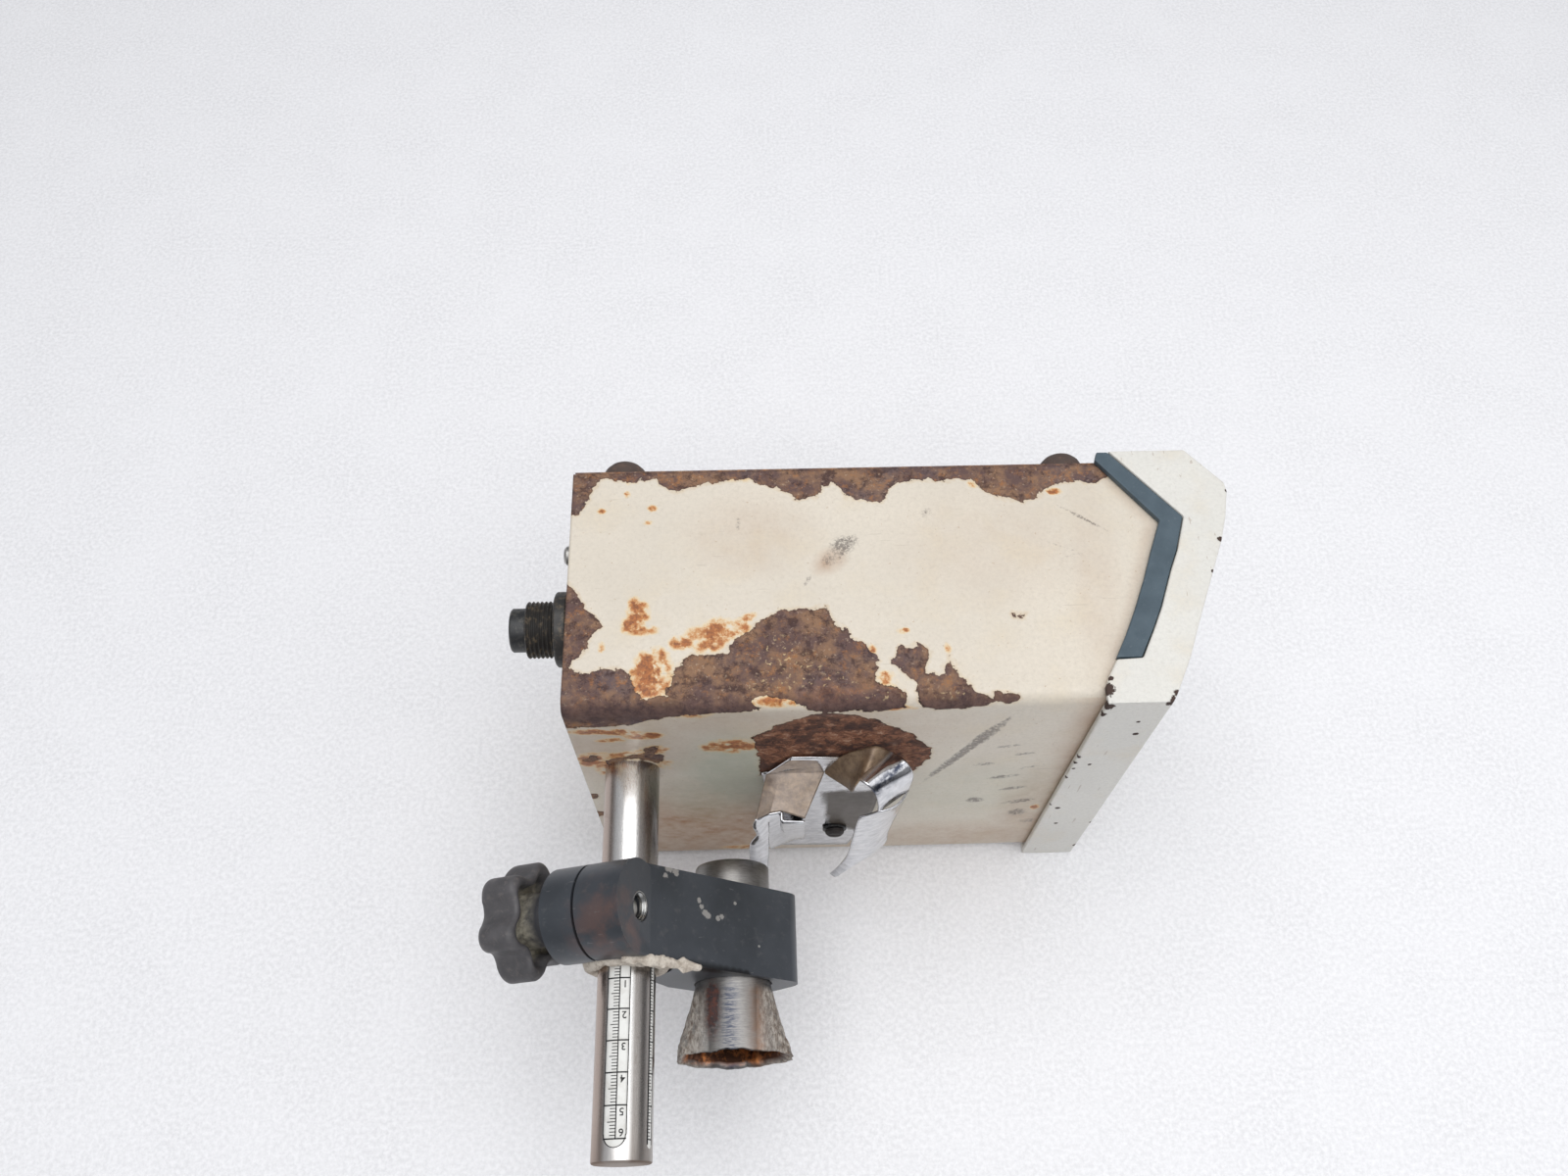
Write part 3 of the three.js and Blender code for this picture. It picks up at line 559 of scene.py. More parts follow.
# Spots on the same unrolled cover: X, W, radii along each, turn, strength
STAINS = [(25, 36, 3.6, 5, 0.2, 1.0), (23, 31, 3.5, 3, 0, 1.0), (27, 29, 5, 1.8, 0, 0.7),
          (30, 14, 5.5, 7, -0.3, 1.35), (28, 7, 7, 4, 0, 0.9), (34, 9, 4, 4, 0, 0.9),
          (40, 24, 3.5, 2.6, 0, 0.95), (46, 28, 5, 2.5, 0.4, 0.7), (53, 28, 5, 4.5, 0.5, 0.95),
          (50, 23, 5, 2.5, 0.3, 0.8), (59, 29, 5, 3, 0.5, 0.8), (63, 33, 3, 1.6, 0.5, 0.7),
          (21, 89, 1.5, 1.2, 0, 0.9), (29, 78, 1.6, 1.3, 0, 0.8), (20, 84, 1.2, 1.2, 0, 0.8),
          (11, 77, 1.5, 1, 0, 0.6), (28, 72, 1.6, 0.8, 0.4, 0.8), (116, 27, 2.2, 1.0, 0.2, 0.9),
          (105, 20, 1.4, 1.6, 0, 0.9), (175, 82, 2.4, 1.4, 0, 1.1), (13, 23, 1.2, 1.8, 0, 0.9),
          (109, 9, 3, 3.5, 0.8, 0.8), (131, 20, 1.2, 2, 0, 0.7), (146, 86, 2, 1.5, 0, 0.7),
          (7, -19, 6, 2.2, 0, 1.1), (18, -20, 7, 2.4, 0, 1.0), (26, -24, 6, 2.6, 0.1, 1.2),
          (14, -27, 5, 2, 0, 0.8), (5, -46, 4.6, 6, 0, 1.15), (57, -35, 8, 6, 0, 1.0),
          (50, -36, 5, 4, 0, 0.8), (27, -38, 6, 4, 0.2, 0.8), (17, -43, 13, 4, 0, 0.75),
          (8, -54, 3, 7, 0, 0.7), (31, -52, 3, 5, 0, 0.6), (72, 1, 8, 2.6, 0, 0.8), (42, -3, 9, 5, 0, 0.6),
          (110, -4, 9, 2, 0, 0.6), (64, 92, 12, 3, 0, 0.5), (60, -157, 10, 2.5, 0, 0.7),
          (178, -112, 1.6, 3, 0, 0.9)]
WARM = [(46, -126, 36, 44, 0.0, 0.85), (14, -36, 26, 26, 0.0, 0.35), (30, -150, 44, 22, 0, 0.7),
        (96, -20, 40, 22, 0, 0.2), (176, -110, 12, 44, 0, 0.45), (150, -150, 60, 18, 0, 0.4),
        (185, 40, 8, 40, 0, 0.15), (40, -210, 60, 30, 0, 0.35), (110, -150, 60, 16, 0, 0.35),
        (60, -14, 60, 10, 0, 0.25)]
COOL = [(56, -66, 16, 34, 0, 1.0), (62, -50, 14, 16, 0, 0.8), (44, -90, 14, 24, 0, 0.6),
        (150, -90, 40, 30, 0, 0.35)]
GRIME = [(92, 55, 6, 4, 0.6, 0.5), (64, 66, 20, 14, 0, 0.18), (150, 60, 30, 20, 0, 0.12)]
DEEP = [(97, -40, 40, 36, 0, 1.3)]
SCUFFS = [(97, 61, 5.5, 3.6, 0.6, 1.0), (93, 56, 4, 3, 0.6, 0.7), (141, -45, 1.7, 27, -0.36, 2.2),
          (146, -32, 2.4, 12, -0.36, 1.6), (156, -42, 5, 1.2, 0.3, 0.9), (164, -50, 4, 1.4, 0.2, 0.8),
          (150, -60, 4, 1.5, 0.2, 0.8), (160, -74, 6, 1.6, 0.3, 1.1), (165, -88, 5, 1.6, 0.3, 1.2),
          (152, -101, 3, 2.6, 0, 1.6), (170, -104, 6, 2.0, 0.3, 1.3), (172, -118, 4, 4, 0, 0.9),
          (168, -64, 6, 1.2, 0.4, 0.7), (178, -130, 5, 3, 0, 0.6), (183, 71, 10, 0.6, -0.58, 0.9),
          (172, 60, 8, 0.5, -0.4, 0.6), (128, 74, 3, 1.6, 0.6, 0.7), (60, 71, 1.2, 2.6, 0, 0.6),
          (84, 47, 0.8, 2.6, -0.5, 0.8), (178, 55, 7, 0.7, 0.2, 0.4), (48, -38, 5, 1.6, 0.3, 0.5)]
FLECKS = [(74, 16, 6, 9, 0.2, 0.9), (82, 13, 6, 7, 0, 0.7), (70, 8, 8, 3, 0, 0.6), (92, 9, 7, 3, 0, 0.6),
          (104, 2, 10, 2, 0, 0.9), (132, 2, 8, 2, 0, 0.6)]
# The cover's front edge: its X at each Y
FRONT_Y = [0, 13.5, 22.8, 32.8, 44.2, 55.1, 67.5, 93.5]
FRONT_X = [186, 189.5, 194, 198.8, 203.5, 207.6, 212, 194.5]
SKIN_STEP = 0.8
SKIN_COLUMNS = 240
SHEET = 1.2
PLAIN_MARGIN = 14.0     # smooth strip along the front edge, most of it behind the bezel


def cover_section(w):
    """Y, Z and the outward direction of each place w round the folded cover."""
    y = np.where(w > 0, w, -CASE_D - w)
    z = np.where(w > 0, CASE_D, 0.0)
    ny = np.zeros_like(w)
    nz = np.where(w > 0, 1.0, -1.0)
    face = (w < -FOLD) & (w > FOLD - CASE_D)
    y = np.where(face, 0, y)
    z = np.where(face, CASE_D + w, z)
    ny = np.where(face, -1, ny)
    nz = np.where(face, 0, nz)
    for middle, centre_z, sign in ((0.0, CASE_D - FOLD, 1), (-CASE_D, FOLD, -1)):
        fold = np.abs(w - middle) <= FOLD
        turn = (FOLD - sign * (w - middle)) / (2 * FOLD) * math.pi / 2
        y = np.where(fold, FOLD - FOLD * np.sin(turn), y)
        z = np.where(fold, centre_z + sign * FOLD * np.cos(turn), z)
        ny = np.where(fold, -np.sin(turn), ny)
        nz = np.where(fold, sign * np.cos(turn), nz)
    return y, z, ny, nz


def cover_rows():
    """Places round the cover, closer together where it shows and where it folds."""
    fine = np.arange(COVER_END, FOLD, -SKIN_STEP)
    fold = np.linspace(FOLD, -FOLD, 13)
    face = np.arange(-FOLD - SKIN_STEP, FOLD - CASE_D, -SKIN_STEP)
    low = np.linspace(FOLD - CASE_D, -FOLD - CASE_D, 9)
    under = np.linspace(-FOLD - CASE_D - 2, -CASE_D - COVER_END, 56)
    return np.concatenate([fine, fold, face, low, under])


def rusting(x, w):
    """1 well inside the rusted outlines, 0 well outside, with a ragged border."""
    ragged = (rough_noise(x, w, 7, 1) - 0.5) * 3.6 + (rough_noise(x, w, 2.2, 3) - 0.5) * 3.2
    inside = np.max([depth_inside(x, w, outline) for outline in RUST], axis=0)
    return np.clip(0.5 + (inside + ragged) / 6, 0, 1)


def blots(x, w, table, speckle):
    """The strongest spot of a table at each place, broken up by noise."""
    total = np.zeros(x.shape)
    for middle_x, middle_w, radius_x, radius_w, turn, strength in table:
        total = np.maximum(total, strength * spot(x, w, middle_x, middle_w, radius_x, radius_w, turn))
    return total * np.clip(1 + (rough_noise(x, w, 2.6, 5) - 0.5) * speckle, 0, 2)


def build_cover():
    w, share = np.meshgrid(cover_rows(), np.linspace(0, 1, SKIN_COLUMNS), indexing="ij")
    y, z, ny, nz = cover_section(w)
    front = np.interp(y, FRONT_Y, FRONT_X)
    x = share * front
    rust = rusting(x, w)
    to_margin = front - PLAIN_MARGIN - x
    # Painted shade beside the bezel's raised lip on the rod face, and a thin warm strip beside the lip on the
    # top side; both feed warm.
    face_bezel_shade = 0.6 * np.exp(-((to_margin + 11) / 8) ** 2)
    top_bezel_strip = 0.25 * np.exp(-((to_margin + 10) / 2.5) ** 2)
    scale = (rough_noise(x, w, 3.5, 8) - 0.45) * 0.55
    depth = np.where(rust > 0.5, scale, 0.08) * np.clip(to_margin / 6, 0, 1)
    outer = np.stack([x, y + ny * depth, z + nz * depth], -1).reshape(-1, 3)
    inner = np.stack([x, y - ny * SHEET, z - nz * SHEET], -1).reshape(-1, 3)
    values = {"rust": rust,
              "stain": blots(x, w, STAINS, 3.0),
              "warm": np.maximum(blots(x, w, WARM + GRIME, 0.8), np.where(w < 0, face_bezel_shade, top_bezel_strip)),
              "scuff": blots(x, w, SCUFFS, 1.6),
              "fleck": blots(x, w, FLECKS, 1.6),
              "cool": blots(x, w, COOL, 0.8),
              "deep": np.clip(blots(x, w, DEEP, 0), 0, 1),
              # fold paints shade on the rust along the fold.
              "fold": np.interp(w, [-12, -7, -1, 5], [0, 0.85, 0.85, 0])}
    values = {key: np.tile(v.ravel(), 2) for key, v in values.items()}
    make_piece("rusted_cover", np.concatenate([outer, inner]), shell_faces(*x.shape), cover_material(),
               "housing", ("cover_shell",), values)


# ---------------------------------------------------------------- bare metal and small parts
def dress_cad_nodes():
    bare = steel_material("plain_steel", srgb(176, 174, 170), 0.28, 0.42)
    black = plastic_material("connector_black", srgb(36, 37, 39), srgb(128, 124, 114), 0.3, 0.5, 0.45)
    worn = plastic_material("connector_worn", srgb(50, 48, 46), srgb(146, 128, 102), 0.35, 0.55, 0.85)
    green = plastic_material("solder_mask", srgb(44, 92, 58), srgb(120, 130, 110), 0.3, 0.5, 0.2)
    blue = plastic_material("relay_case", srgb(44, 74, 122), srgb(120, 120, 120), 0.25, 0.4, 0.2)
    rubber = plastic_material("foot_rubber", srgb(84, 70, 64), srgb(128, 98, 82), 0.6, 0.8, 0.7)
    blackened = plastic_material("screw_blackened", srgb(46, 40, 38), srgb(96, 84, 74), 0.5, 0.7, 0.3)
    sleeve = plastic_material("sleeve", srgb(34, 36, 50), srgb(150, 150, 150), 0.25, 0.4, 0.1)
    tape = plastic_material("coil_tape", srgb(150, 92, 46), srgb(190, 150, 100))
    terminals = plastic_material("terminals", srgb(60, 122, 76), srgb(150, 150, 130))
    casting = steel_material("socket_casting", srgb(150, 150, 148), 0.4, 0.6)
    iron = steel_material("core_iron", srgb(96, 90, 84), 0.5, 0.7, (0.2, 6, 0.2))
    brass = steel_material("standoff_brass", srgb(196, 164, 92), 0.3, 0.45)
    anodised, slate = anodised_material(), trim_material()
    # material, width of the softened edges, nodes
    finishes = [
        (patchy_cover_material(), 0.3, ["chassis_tray"]),
        (bezel_material(), 0.6, ["front_bezel"]),
        (bezel_material(), 0.3, ["front_panel"]),
        (slate, 0.35, ["bezel_trim_upper", "bezel_trim_lower"]),
        (window_material(), 0.2, ["display_window"]),
        (green, 0.1, ["display_board", "circuit_board"]),
        (worn, 0.1, ["connector_shell"]),
        (worn, 0.3, ["connector_flange"]),
        (black, 0.15, ["connector_insert"]),
        (black, 0.1, ["clip_washer"]),
        (blackened, 0.15, ["clip_screw"]),
        (casting, 0.5, ["rod_socket"]),
        (anodised, 0.5, ["clamp_body", "clamp_jaw"]),
        (bare, 0.3, ["connector_nut"]),
        (bare, 0.2, ["rod_bolt"]),
        (bare, 0.15, ["knob_washer", "knob_stud", "rear_screw_lower", "rear_screw_upper"]),
        (bare, 0.1, ["post_set_screw"] + [f"foot_screw_{n}" for n in range(1, 5)]),
        (iron, 0.2, ["transformer_core"]),
        (tape, 0.6, ["transformer_coil"]),
        (blue, 0.4, ["relay_1", "relay_2"]),
        (sleeve, 0.2, ["smoothing_capacitor"]),
        (terminals, 0.3, ["terminal_block"]),
        (rubber, 0.3, [f"foot_{n}" for n in range(1, 5)]),
        (brass, 0.1, [f"board_standoff_{n}" for n in range(1, 5)]),
    ]
    for material, bevel, nodes in finishes:
        for node in nodes:
            dress(node, material, bevel)


# ---------------------------------------------------------------- round and bent pieces
def ring_stack(rings, closed=False):
    """Faces over a stack of equal rings of points, capped by a fan at each end unless it closes on itself."""
    rings = [np.asarray(r, float) for r in rings]
    columns = len(rings[0])
    points = np.concatenate(rings)
    faces = grid_faces(len(rings), columns, wrap=True)
    last = (len(rings) - 1) * columns
    if closed:
        faces += [(last + j, last + (j + 1) % columns, (j + 1) % columns, j) for j in range(columns)]
    else:
        points = np.concatenate([points, [rings[0].mean(0), rings[-1].mean(0)]])
        faces += [(len(points) - 2, (j + 1) % columns, j) for j in range(columns)]
        faces += [(len(points) - 1, last + j, last + (j + 1) % columns) for j in range(columns)]
    return points, faces


def circle(count):
    return np.linspace(0, 2 * math.pi, count, endpoint=False)


def rod_ring(angles, y, radius):
    """Points round the rod's axis."""
    return np.stack([ROD_X + radius * np.cos(angles), y + 0 * angles, ROD_Z + radius * np.sin(angles)], -1)


def screw_ring(angles, lift, radius):
    """Points round the clamp screw's axis, lift mm along it."""
    spread = np.outer(radius * np.cos(angles), SCREW_V) + np.outer(radius * np.sin(angles), SCREW_W)
    return SCREW_BASE + spread + np.outer(lift + 0 * angles, SCREW_U)


def thick_sheet(middle, thickness):
    """A bent sheet whose middle surface is a grid of points."""
    normal = np.cross(np.gradient(middle, axis=0), np.gradient(middle, axis=1))
    normal /= np.linalg.norm(normal, axis=-1, keepdims=True) + 1e-12
    half = normal * thickness / 2
    points = np.concatenate([(middle + half).reshape(-1, 3), (middle - half).reshape(-1, 3)])
    return points, shell_faces(*middle.shape[:2], flip=True)


def joined(parts):
    """Several meshes as one."""
    points, faces, start = [], [], 0
    for piece_points, piece_faces in parts:
        points.append(piece_points)
        faces += [tuple(i + start for i in f) for f in piece_faces]
        start += len(piece_points)
    return np.concatenate(points), faces


def smooth_line(points, count):
    """Evenly counted places on a smooth curve through the points."""
    p = np.array(points, float)
    p = np.concatenate([[2 * p[0] - p[1]], p, [2 * p[-1] - p[-2]]])
    place = np.linspace(0, len(points) - 1.000001, count)
    k = place.astype(int)
    t = (place - k)[:, None]
    a, b, c, d = p[k], p[k + 1], p[k + 2], p[k + 3]
    square, cube = 2 * a - 5 * b + 4 * c - d, 3 * b - a - 3 * c + d
    return 0.5 * (2 * b + (c - a) * t + square * t ** 2 + cube * t ** 3)


def straight_line(points, count):
    """Places on the broken line through the points."""
    p = np.array(points, float)
    place = np.linspace(0, len(points) - 1, count)
    return np.stack([np.interp(place, np.arange(len(points)), p[:, k]) for k in range(3)], -1)


def sheet_between(first, second, rows, thickness, bulge=0.0, out=(0, -1, 0)):
    """Bent sheet spanning two edge lines, bowed outward by bulge in the middle."""
    s = np.linspace(0, 1, rows)[:, None, None]
    middle = first * (1 - s) + second * s + np.sin(s * math.pi) * bulge * np.array(out, float)
    return thick_sheet(middle, thickness)


# ---------------------------------------------------------------- graduated rod
SCALE_ZERO = -67.5
SCALE_CM = 6
SCALE_TOP, SCALE_END = -64.0, -130.2
STRIP_HALF, SIDE_HALF = 3.9, 1.1
STRIP_TURN, SIDE_TURN = math.radians(-9), math.radians(66)
INK_LOW, INK_TOP = ROD_R + 0.05, ROD_R + 0.16
BOX_FACES = [(3, 2, 1, 0), (4, 5, 6, 7), (0, 1, 5, 4), (1, 2, 6, 5), (2, 3, 7, 6), (3, 0, 4, 7)]


def on_rod(across, y, radius, turn):
    """A point on the rod: across mm round it from a strip's middle line, at radius mm from its axis."""
    angle = np.asarray(across) / ROD_R + turn
    x, z = ROD_X + radius * np.sin(angle), ROD_Z + radius * np.cos(angle)
    return np.stack([x, np.asarray(y) + 0 * angle, z], -1)


def ink_levels(across, y, turn):
    return np.concatenate([on_rod(across, y, level, turn) for level in (INK_TOP, INK_LOW)])


def ink_mark(across0, across1, y0, y1, turn):
    """A thin raised mark wrapped on the rod."""
    u = np.linspace(across0, across1, max(2, int(abs(across1 - across0) / 0.4) + 2))
    uu, vv = np.meshgrid(u, [y0, y1], indexing="ij")
    return ink_levels(uu.ravel(), vv.ravel(), turn), shell_faces(len(u), 2)


def rounded_strip(half, y_end, low, high, turn):
    """Strip whose free end is a half circle."""
    t = np.linspace(0, 1, 40)
    y = SCALE_TOP + (y_end - SCALE_TOP) * (1 - (1 - t) ** 1.6)
    width = np.sqrt(np.clip(half ** 2 - np.clip(half - (y - y_end), 0, half) ** 2, 0.0004, None))
    rings = []
    for yi, wi in zip(y, width):
        u = np.linspace(-wi, wi, 9)
        rings.append(np.concatenate([on_rod(u, yi, high, turn), on_rod(u[::-1], yi, low, turn)]))
    return ring_stack(rings)


def digit_mesh(text, size):
    """A flat numeral's points and faces."""
    curve = bpy.data.curves.new("digit", "FONT")
    curve.body = text
    curve.size = size
    curve.offset = 0.03
    curve.align_x = "CENTER"
    curve.align_y = "CENTER"
    letter = bpy.data.objects.new("digit", curve)
    bpy.context.scene.collection.objects.link(letter)
    bpy.context.view_layer.update()
    mesh = bpy.data.meshes.new_from_object(letter)
    points = np.array([v.co[:] for v in mesh.vertices])
    faces = [tuple(p.vertices) for p in mesh.polygons]
    bpy.data.objects.remove(letter)
    return points, faces


def raised_digit(number):
    """A numeral whose top points to the rod's free end."""
    outline, faces = digit_mesh(str(number), 3.3)
    middle = SCALE_ZERO - 10 * number + (1.9 if number == SCALE_CM else -1.9)
    count = len(outline)
    edges = {(a, b) for f in faces for a, b in zip(f, f[1:] + f[:1])}
    solid = faces + [tuple(i + count for i in reversed(f)) for f in faces]
    solid += [(b, a, a + count, b + count) for a, b in sorted(edges) if (b, a) not in edges]
    return ink_levels(2.2 - outline[:, 0], middle - outline[:, 1], STRIP_TURN), solid


def scale_lines():
    """Millimetre and centimetre lines of both strips, and the strips' long border lines."""
    marks = []
    for turn, half in ((STRIP_TURN, STRIP_HALF), (SIDE_TURN, SIDE_HALF)):
        for side in (-1, 1):
            marks.append(ink_mark(side * half - 0.16, side * half + 0.16, SCALE_END + half, SCALE_TOP, turn))
    marks.append(ink_mark(0.24, 0.60, SCALE_ZERO - 10 * SCALE_CM, SCALE_TOP, STRIP_TURN))
    for step in range(10 * SCALE_CM + 1):
        y = SCALE_ZERO - step
        if step % 10 == 0:
            marks.append(ink_mark(-STRIP_HALF, STRIP_HALF, y - 0.22, y + 0.22, STRIP_TURN))
            marks.append(ink_mark(-SIDE_HALF, SIDE_HALF, y - 0.2, y + 0.2, SIDE_TURN))
            continue
        reach, side_reach = (2.9, 0.9) if step % 5 == 0 else (2.0, 0.1)
        marks.append(ink_mark(0.4 - reach, 0.4, y - 0.13, y + 0.13, STRIP_TURN))
        marks.append(ink_mark(-SIDE_HALF, SIDE_HALF * side_reach, y - 0.13, y + 0.13, SIDE_TURN))
    return marks


def end_arc():
    """The border line round the main strip's free end."""
    turns = np.linspace(-math.pi / 2, math.pi / 2, 13)
    marks = []
    for pair in zip(turns[:-1], turns[1:]):
        across = STRIP_HALF * np.sin(pair)
        level = SCALE_END + STRIP_HALF - STRIP_HALF * np.cos(pair)
        quad_u = np.concatenate([across, across[::-1] * 0.92])
        quad_v = np.concatenate([level, level[::-1] + 0.26])
        marks.append((ink_levels(quad_u, quad_v, STRIP_TURN), BOX_FACES))
    return marks


def rod_material():
    """Ground steel with painted dark reflection bands along it and a stained end."""
    m = Surface("rod_steel")
    lines = m.noise(1.0, 4, 0.7, m.stretched(7, 0.3, 7))
    colour = m.mix(m.step(lines, 0.3, 0.7), srgb(216, 214, 211), srgb(240, 239, 237))
    # Painted reflection: a dark band along the rod's upper right side, held in the dark value.
    painted_reflection_band = m.times(m.value("dark"), m.step(lines, 0.3, 0.7, 0.75, 1.0))
    colour = m.mix(painted_reflection_band, colour, srgb(136, 130, 125))
    colour = m.mix(m.times(m.value("brown"), 0.9), colour, srgb(166, 144, 130))
    bloom = m.most(m.step(m.noise(7, 6, 0.7), 0.60, 0.76, 0, 0.35), m.times(m.value("end"), 0.75))
    colour = m.mix(bloom, colour, srgb(130, 112, 98))
    m.bump(lines, 0.01)
    return m.finish(colour, m.plus(m.step(lines, 0.3, 0.7, 0.20, 0.32), m.times(bloom, 0.6)), 1.0)


def scale_material():
    m = Surface("scale_white")
    colour = m.patches(srgb(226, 226, 222), (5, 5, 0.7), 0.45, 0.75, 0.5, srgb(180, 174, 164))
    return m.finish(colour, m.step(m.noise(2, 3), 0.3, 0.7, 0.35, 0.5))


def build_rod():
    bore = 3.45
    profile = [(ROD_END, 3.2), (ROD_END, ROD_R - 0.7), (ROD_END + 0.15, ROD_R - 0.35),
               (ROD_END + 0.4, ROD_R - 0.1), (ROD_END + 0.7, ROD_R)]
    profile += [(y, ROD_R) for y in np.linspace(-120, 10, 14)]
    profile += [(23.5, ROD_R), (24, ROD_R - 0.5), (24, bore), (9, bore)]
    points, faces = ring_stack([rod_ring(circle(160), y, radius) for y, radius in profile])
    across = (points[:, 0] - ROD_X) / ROD_R
    upper = points[:, 2] > ROD_Z - 5
    # dark is a painted reflection band on the upper right of the rod.
    values = {"dark": np.interp(across, [0.28, 0.42, 0.9, 1], [0, 1, 1, 0.7]) * upper,
              "brown": np.interp(across, [-1, -0.62, -0.45], [1, 0.8, 0]) * upper,
              "end": np.interp(points[:, 1], [ROD_END + 0.4, ROD_END + 0.8], [1, 0])}
    make_piece("ground_rod", points, faces, rod_material(), "housing", ("mounting_rod",), values)


def build_scales():
    white = scale_material()
    for name, half, turn, node in (("scale_strip_main", STRIP_HALF, STRIP_TURN, "rod_scale_main"),
                                   ("scale_strip_side", SIDE_HALF, SIDE_TURN, "rod_scale_side")):
        points, faces = rounded_strip(half, SCALE_END, ROD_R - 0.3, ROD_R + 0.10, turn)
        make_piece(name, points, faces, white, "housing", (node,))
    digits = [raised_digit(number) for number in range(1, SCALE_CM + 1)]
    points, faces = joined(scale_lines() + end_arc() + digits)
    ink = plastic_material("scale_ink", srgb(24, 24, 26), srgb(96, 92, 88), 0.5, 0.7, 0.35)
    make_piece("scale_graduations", points, faces, ink, "housing")


# ---------------------------------------------------------------- post with its torn wings
POST_TOP, POST_SPREADS, POST_TORN = -29.3, -73.0, -98.6


def post_material():
    """Steel tube with brushed, tanned and burnt streaks, crusted wings and a brown inside."""
    m = Surface("post_steel_stained")
    lines = m.noise(1.0, 4, 0.7, m.stretched(0.35, 3.0, 0.35))
    colour = m.mix(m.step(lines, 0.3, 0.7), srgb(112, 110, 108), srgb(144, 142, 139))
    strokes = m.noise(1.0, 3, 0.8, m.stretched(0.22, 2.2, 0.22))
    brushed = m.times(m.value("brushed"), m.step(strokes, 0.46, 0.54, 0.25, 1))
    colour = m.mix(brushed, colour, srgb(66, 70, 82))
    tan = m.times(m.value("tan"), m.step(m.noise(3, 5, 0.7), 0.3, 0.6, 0.5, 1))
    colour = m.mix(tan, colour, srgb(120, 98, 84))
    burn = m.times(m.value("burn"), m.step(m.noise(2.5, 5, 0.75), 0.3, 0.55, 0.4, 1.3))
    burnt = m.mottled((1.8, 4), 0.4, 0.6, srgb(92, 52, 42), srgb(52, 42, 44))
    colour = m.mix(m.step(burn, 0.12, 0.7, 0, 0.95), colour, burnt)
    crust = m.times(m.value("wing"), m.step(m.noise(2.2, 6, 0.75, m.stretched(1, 0.45, 1)), 0.33, 0.50))
    flakes = m.step(m.noise(1.4, 5, 0.75, m.stretched(1.2, 0.5, 1.2)), 0.40, 0.60)
    colour = m.mix(crust, colour, m.mix(flakes, srgb(108, 92, 80), srgb(196, 188, 178)))
    lining = m.mottled((4.5, 5, 0.7), 0.46, 0.62, srgb(84, 58, 46), srgb(196, 126, 76))
    colour = m.mix(m.value("inside"), colour, lining)
    m.bump(strokes, 0.03)
    m.bump(m.times(m.value("wing"), m.noise(1.8, 6, 0.75, m.stretched(1, 0.5, 1))), 1.1)
    dull = m.most(crust, burn)
    rough = m.plus(m.step(lines, 0.3, 0.7, 0.30, 0.42), m.times(dull, 0.4))
    return m.finish(colour, rough, m.math("SUBTRACT", 1.0, m.times(dull, 0.85)))


def build_post():
    angles = circle(200)
    side = np.clip((np.abs(np.cos(angles)) - 0.62) / 0.25, 0, 1)
    uneven = rough_noise(angles * 7, 0 * angles + 5, 1.5, 6) - 0.5

    def ring(y, radius, wing=0.0, torn=0.0):
        """One ring of the tube, spread to both sides by wing mm and torn along its length."""
        crumple = rough_noise(angles * 9, 0 * angles + y * 0.25 + 60, 1.3, 2) - 0.5
        spread = wing * side * (1 + 0.5 * crumple)
        tear = torn * uneven + 0.5 * max(0, wing - 3) * np.sin(angles)
        flattened = radius * (1 - 0.035 * wing * np.abs(np.sin(angles)))
        x = POST_X + (radius + spread) * np.cos(angles)
        z = POST_Z + (flattened + crumple * side * wing * 0.3) * np.sin(angles)
        return np.stack([x, y + tear, z], -1)

    plain = [(POST_TOP, POST_R - 0.9), (POST_TOP - 0.2, POST_R - 0.4), (POST_TOP - 0.8, POST_R)]
    plain += [(y, POST_R) for y in np.linspace(-36, -74, 10)]
    rings = [ring(y, radius) for y, radius in plain]
    for y in np.linspace(-75, POST_TORN, 34):
        rings.append(ring(y, POST_R, ((POST_SPREADS - y) / 26) ** 1.1 * 6.9, 0.0 if y > -97 else 1.5))
    rings.append(ring(POST_TORN + 0.2, POST_R - 0.9, 6.6, 1.5))
    first_torn, first_inside = len(plain), len(rings)
    for y in np.linspace(-97, -80, 10):
        rings.append(ring(y, POST_BORE, max(0.0, -77 - y) / 22 * 5.4, 1.2 if y < -96 else 0.0))
    rings += [ring(y, POST_BORE) for y in (-70, -55, -40)]
    points, faces = ring_stack(rings)
    row = np.minimum(np.arange(len(points)) // len(angles), len(rings) - 1)
    column = np.arange(len(points)) % len(angles)
    inside = (row >= first_inside).astype(float)
    inside[-2] = 0                      # the middle of the upper end's cap
    across = (points[:, 0] - POST_X) / POST_R
    lower = np.clip((-72 - points[:, 1]) / 5, 0, 1)

    def streak(middle, width):
        return np.exp(-((across - middle) / width) ** 2) * lower

    values = {"wing": side[column] * np.clip((row - first_torn + 1) / 4, 0, 1) * (row < first_inside),
              "inside": inside,
              "burn": streak(-0.52, 0.2) * np.clip((points[:, 1] + 97) / 14, 0, 1),
              "tan": streak(0.66, 0.22),
              "brushed": streak(-0.08, 0.24)}
    make_piece("flared_post", points, faces, post_material(), "arm", ("post_tube",), values)


# ---------------------------------------------------------------- crumbling liner
def liner_material():
    m = Surface("liner_crust")
    colour = m.mottled((3, 5, 0.7), 0.36, 0.58, srgb(184, 172, 158), srgb(226, 217, 204))
    colour = m.patches(colour, (0.9, 4, 0.7), 0.60, 0.70, 0.8, srgb(126, 112, 98))
    m.bump(m.noise(1.3, 6, 0.75), 0.8)
    return m.finish(colour, 0.92, specular=0.2)


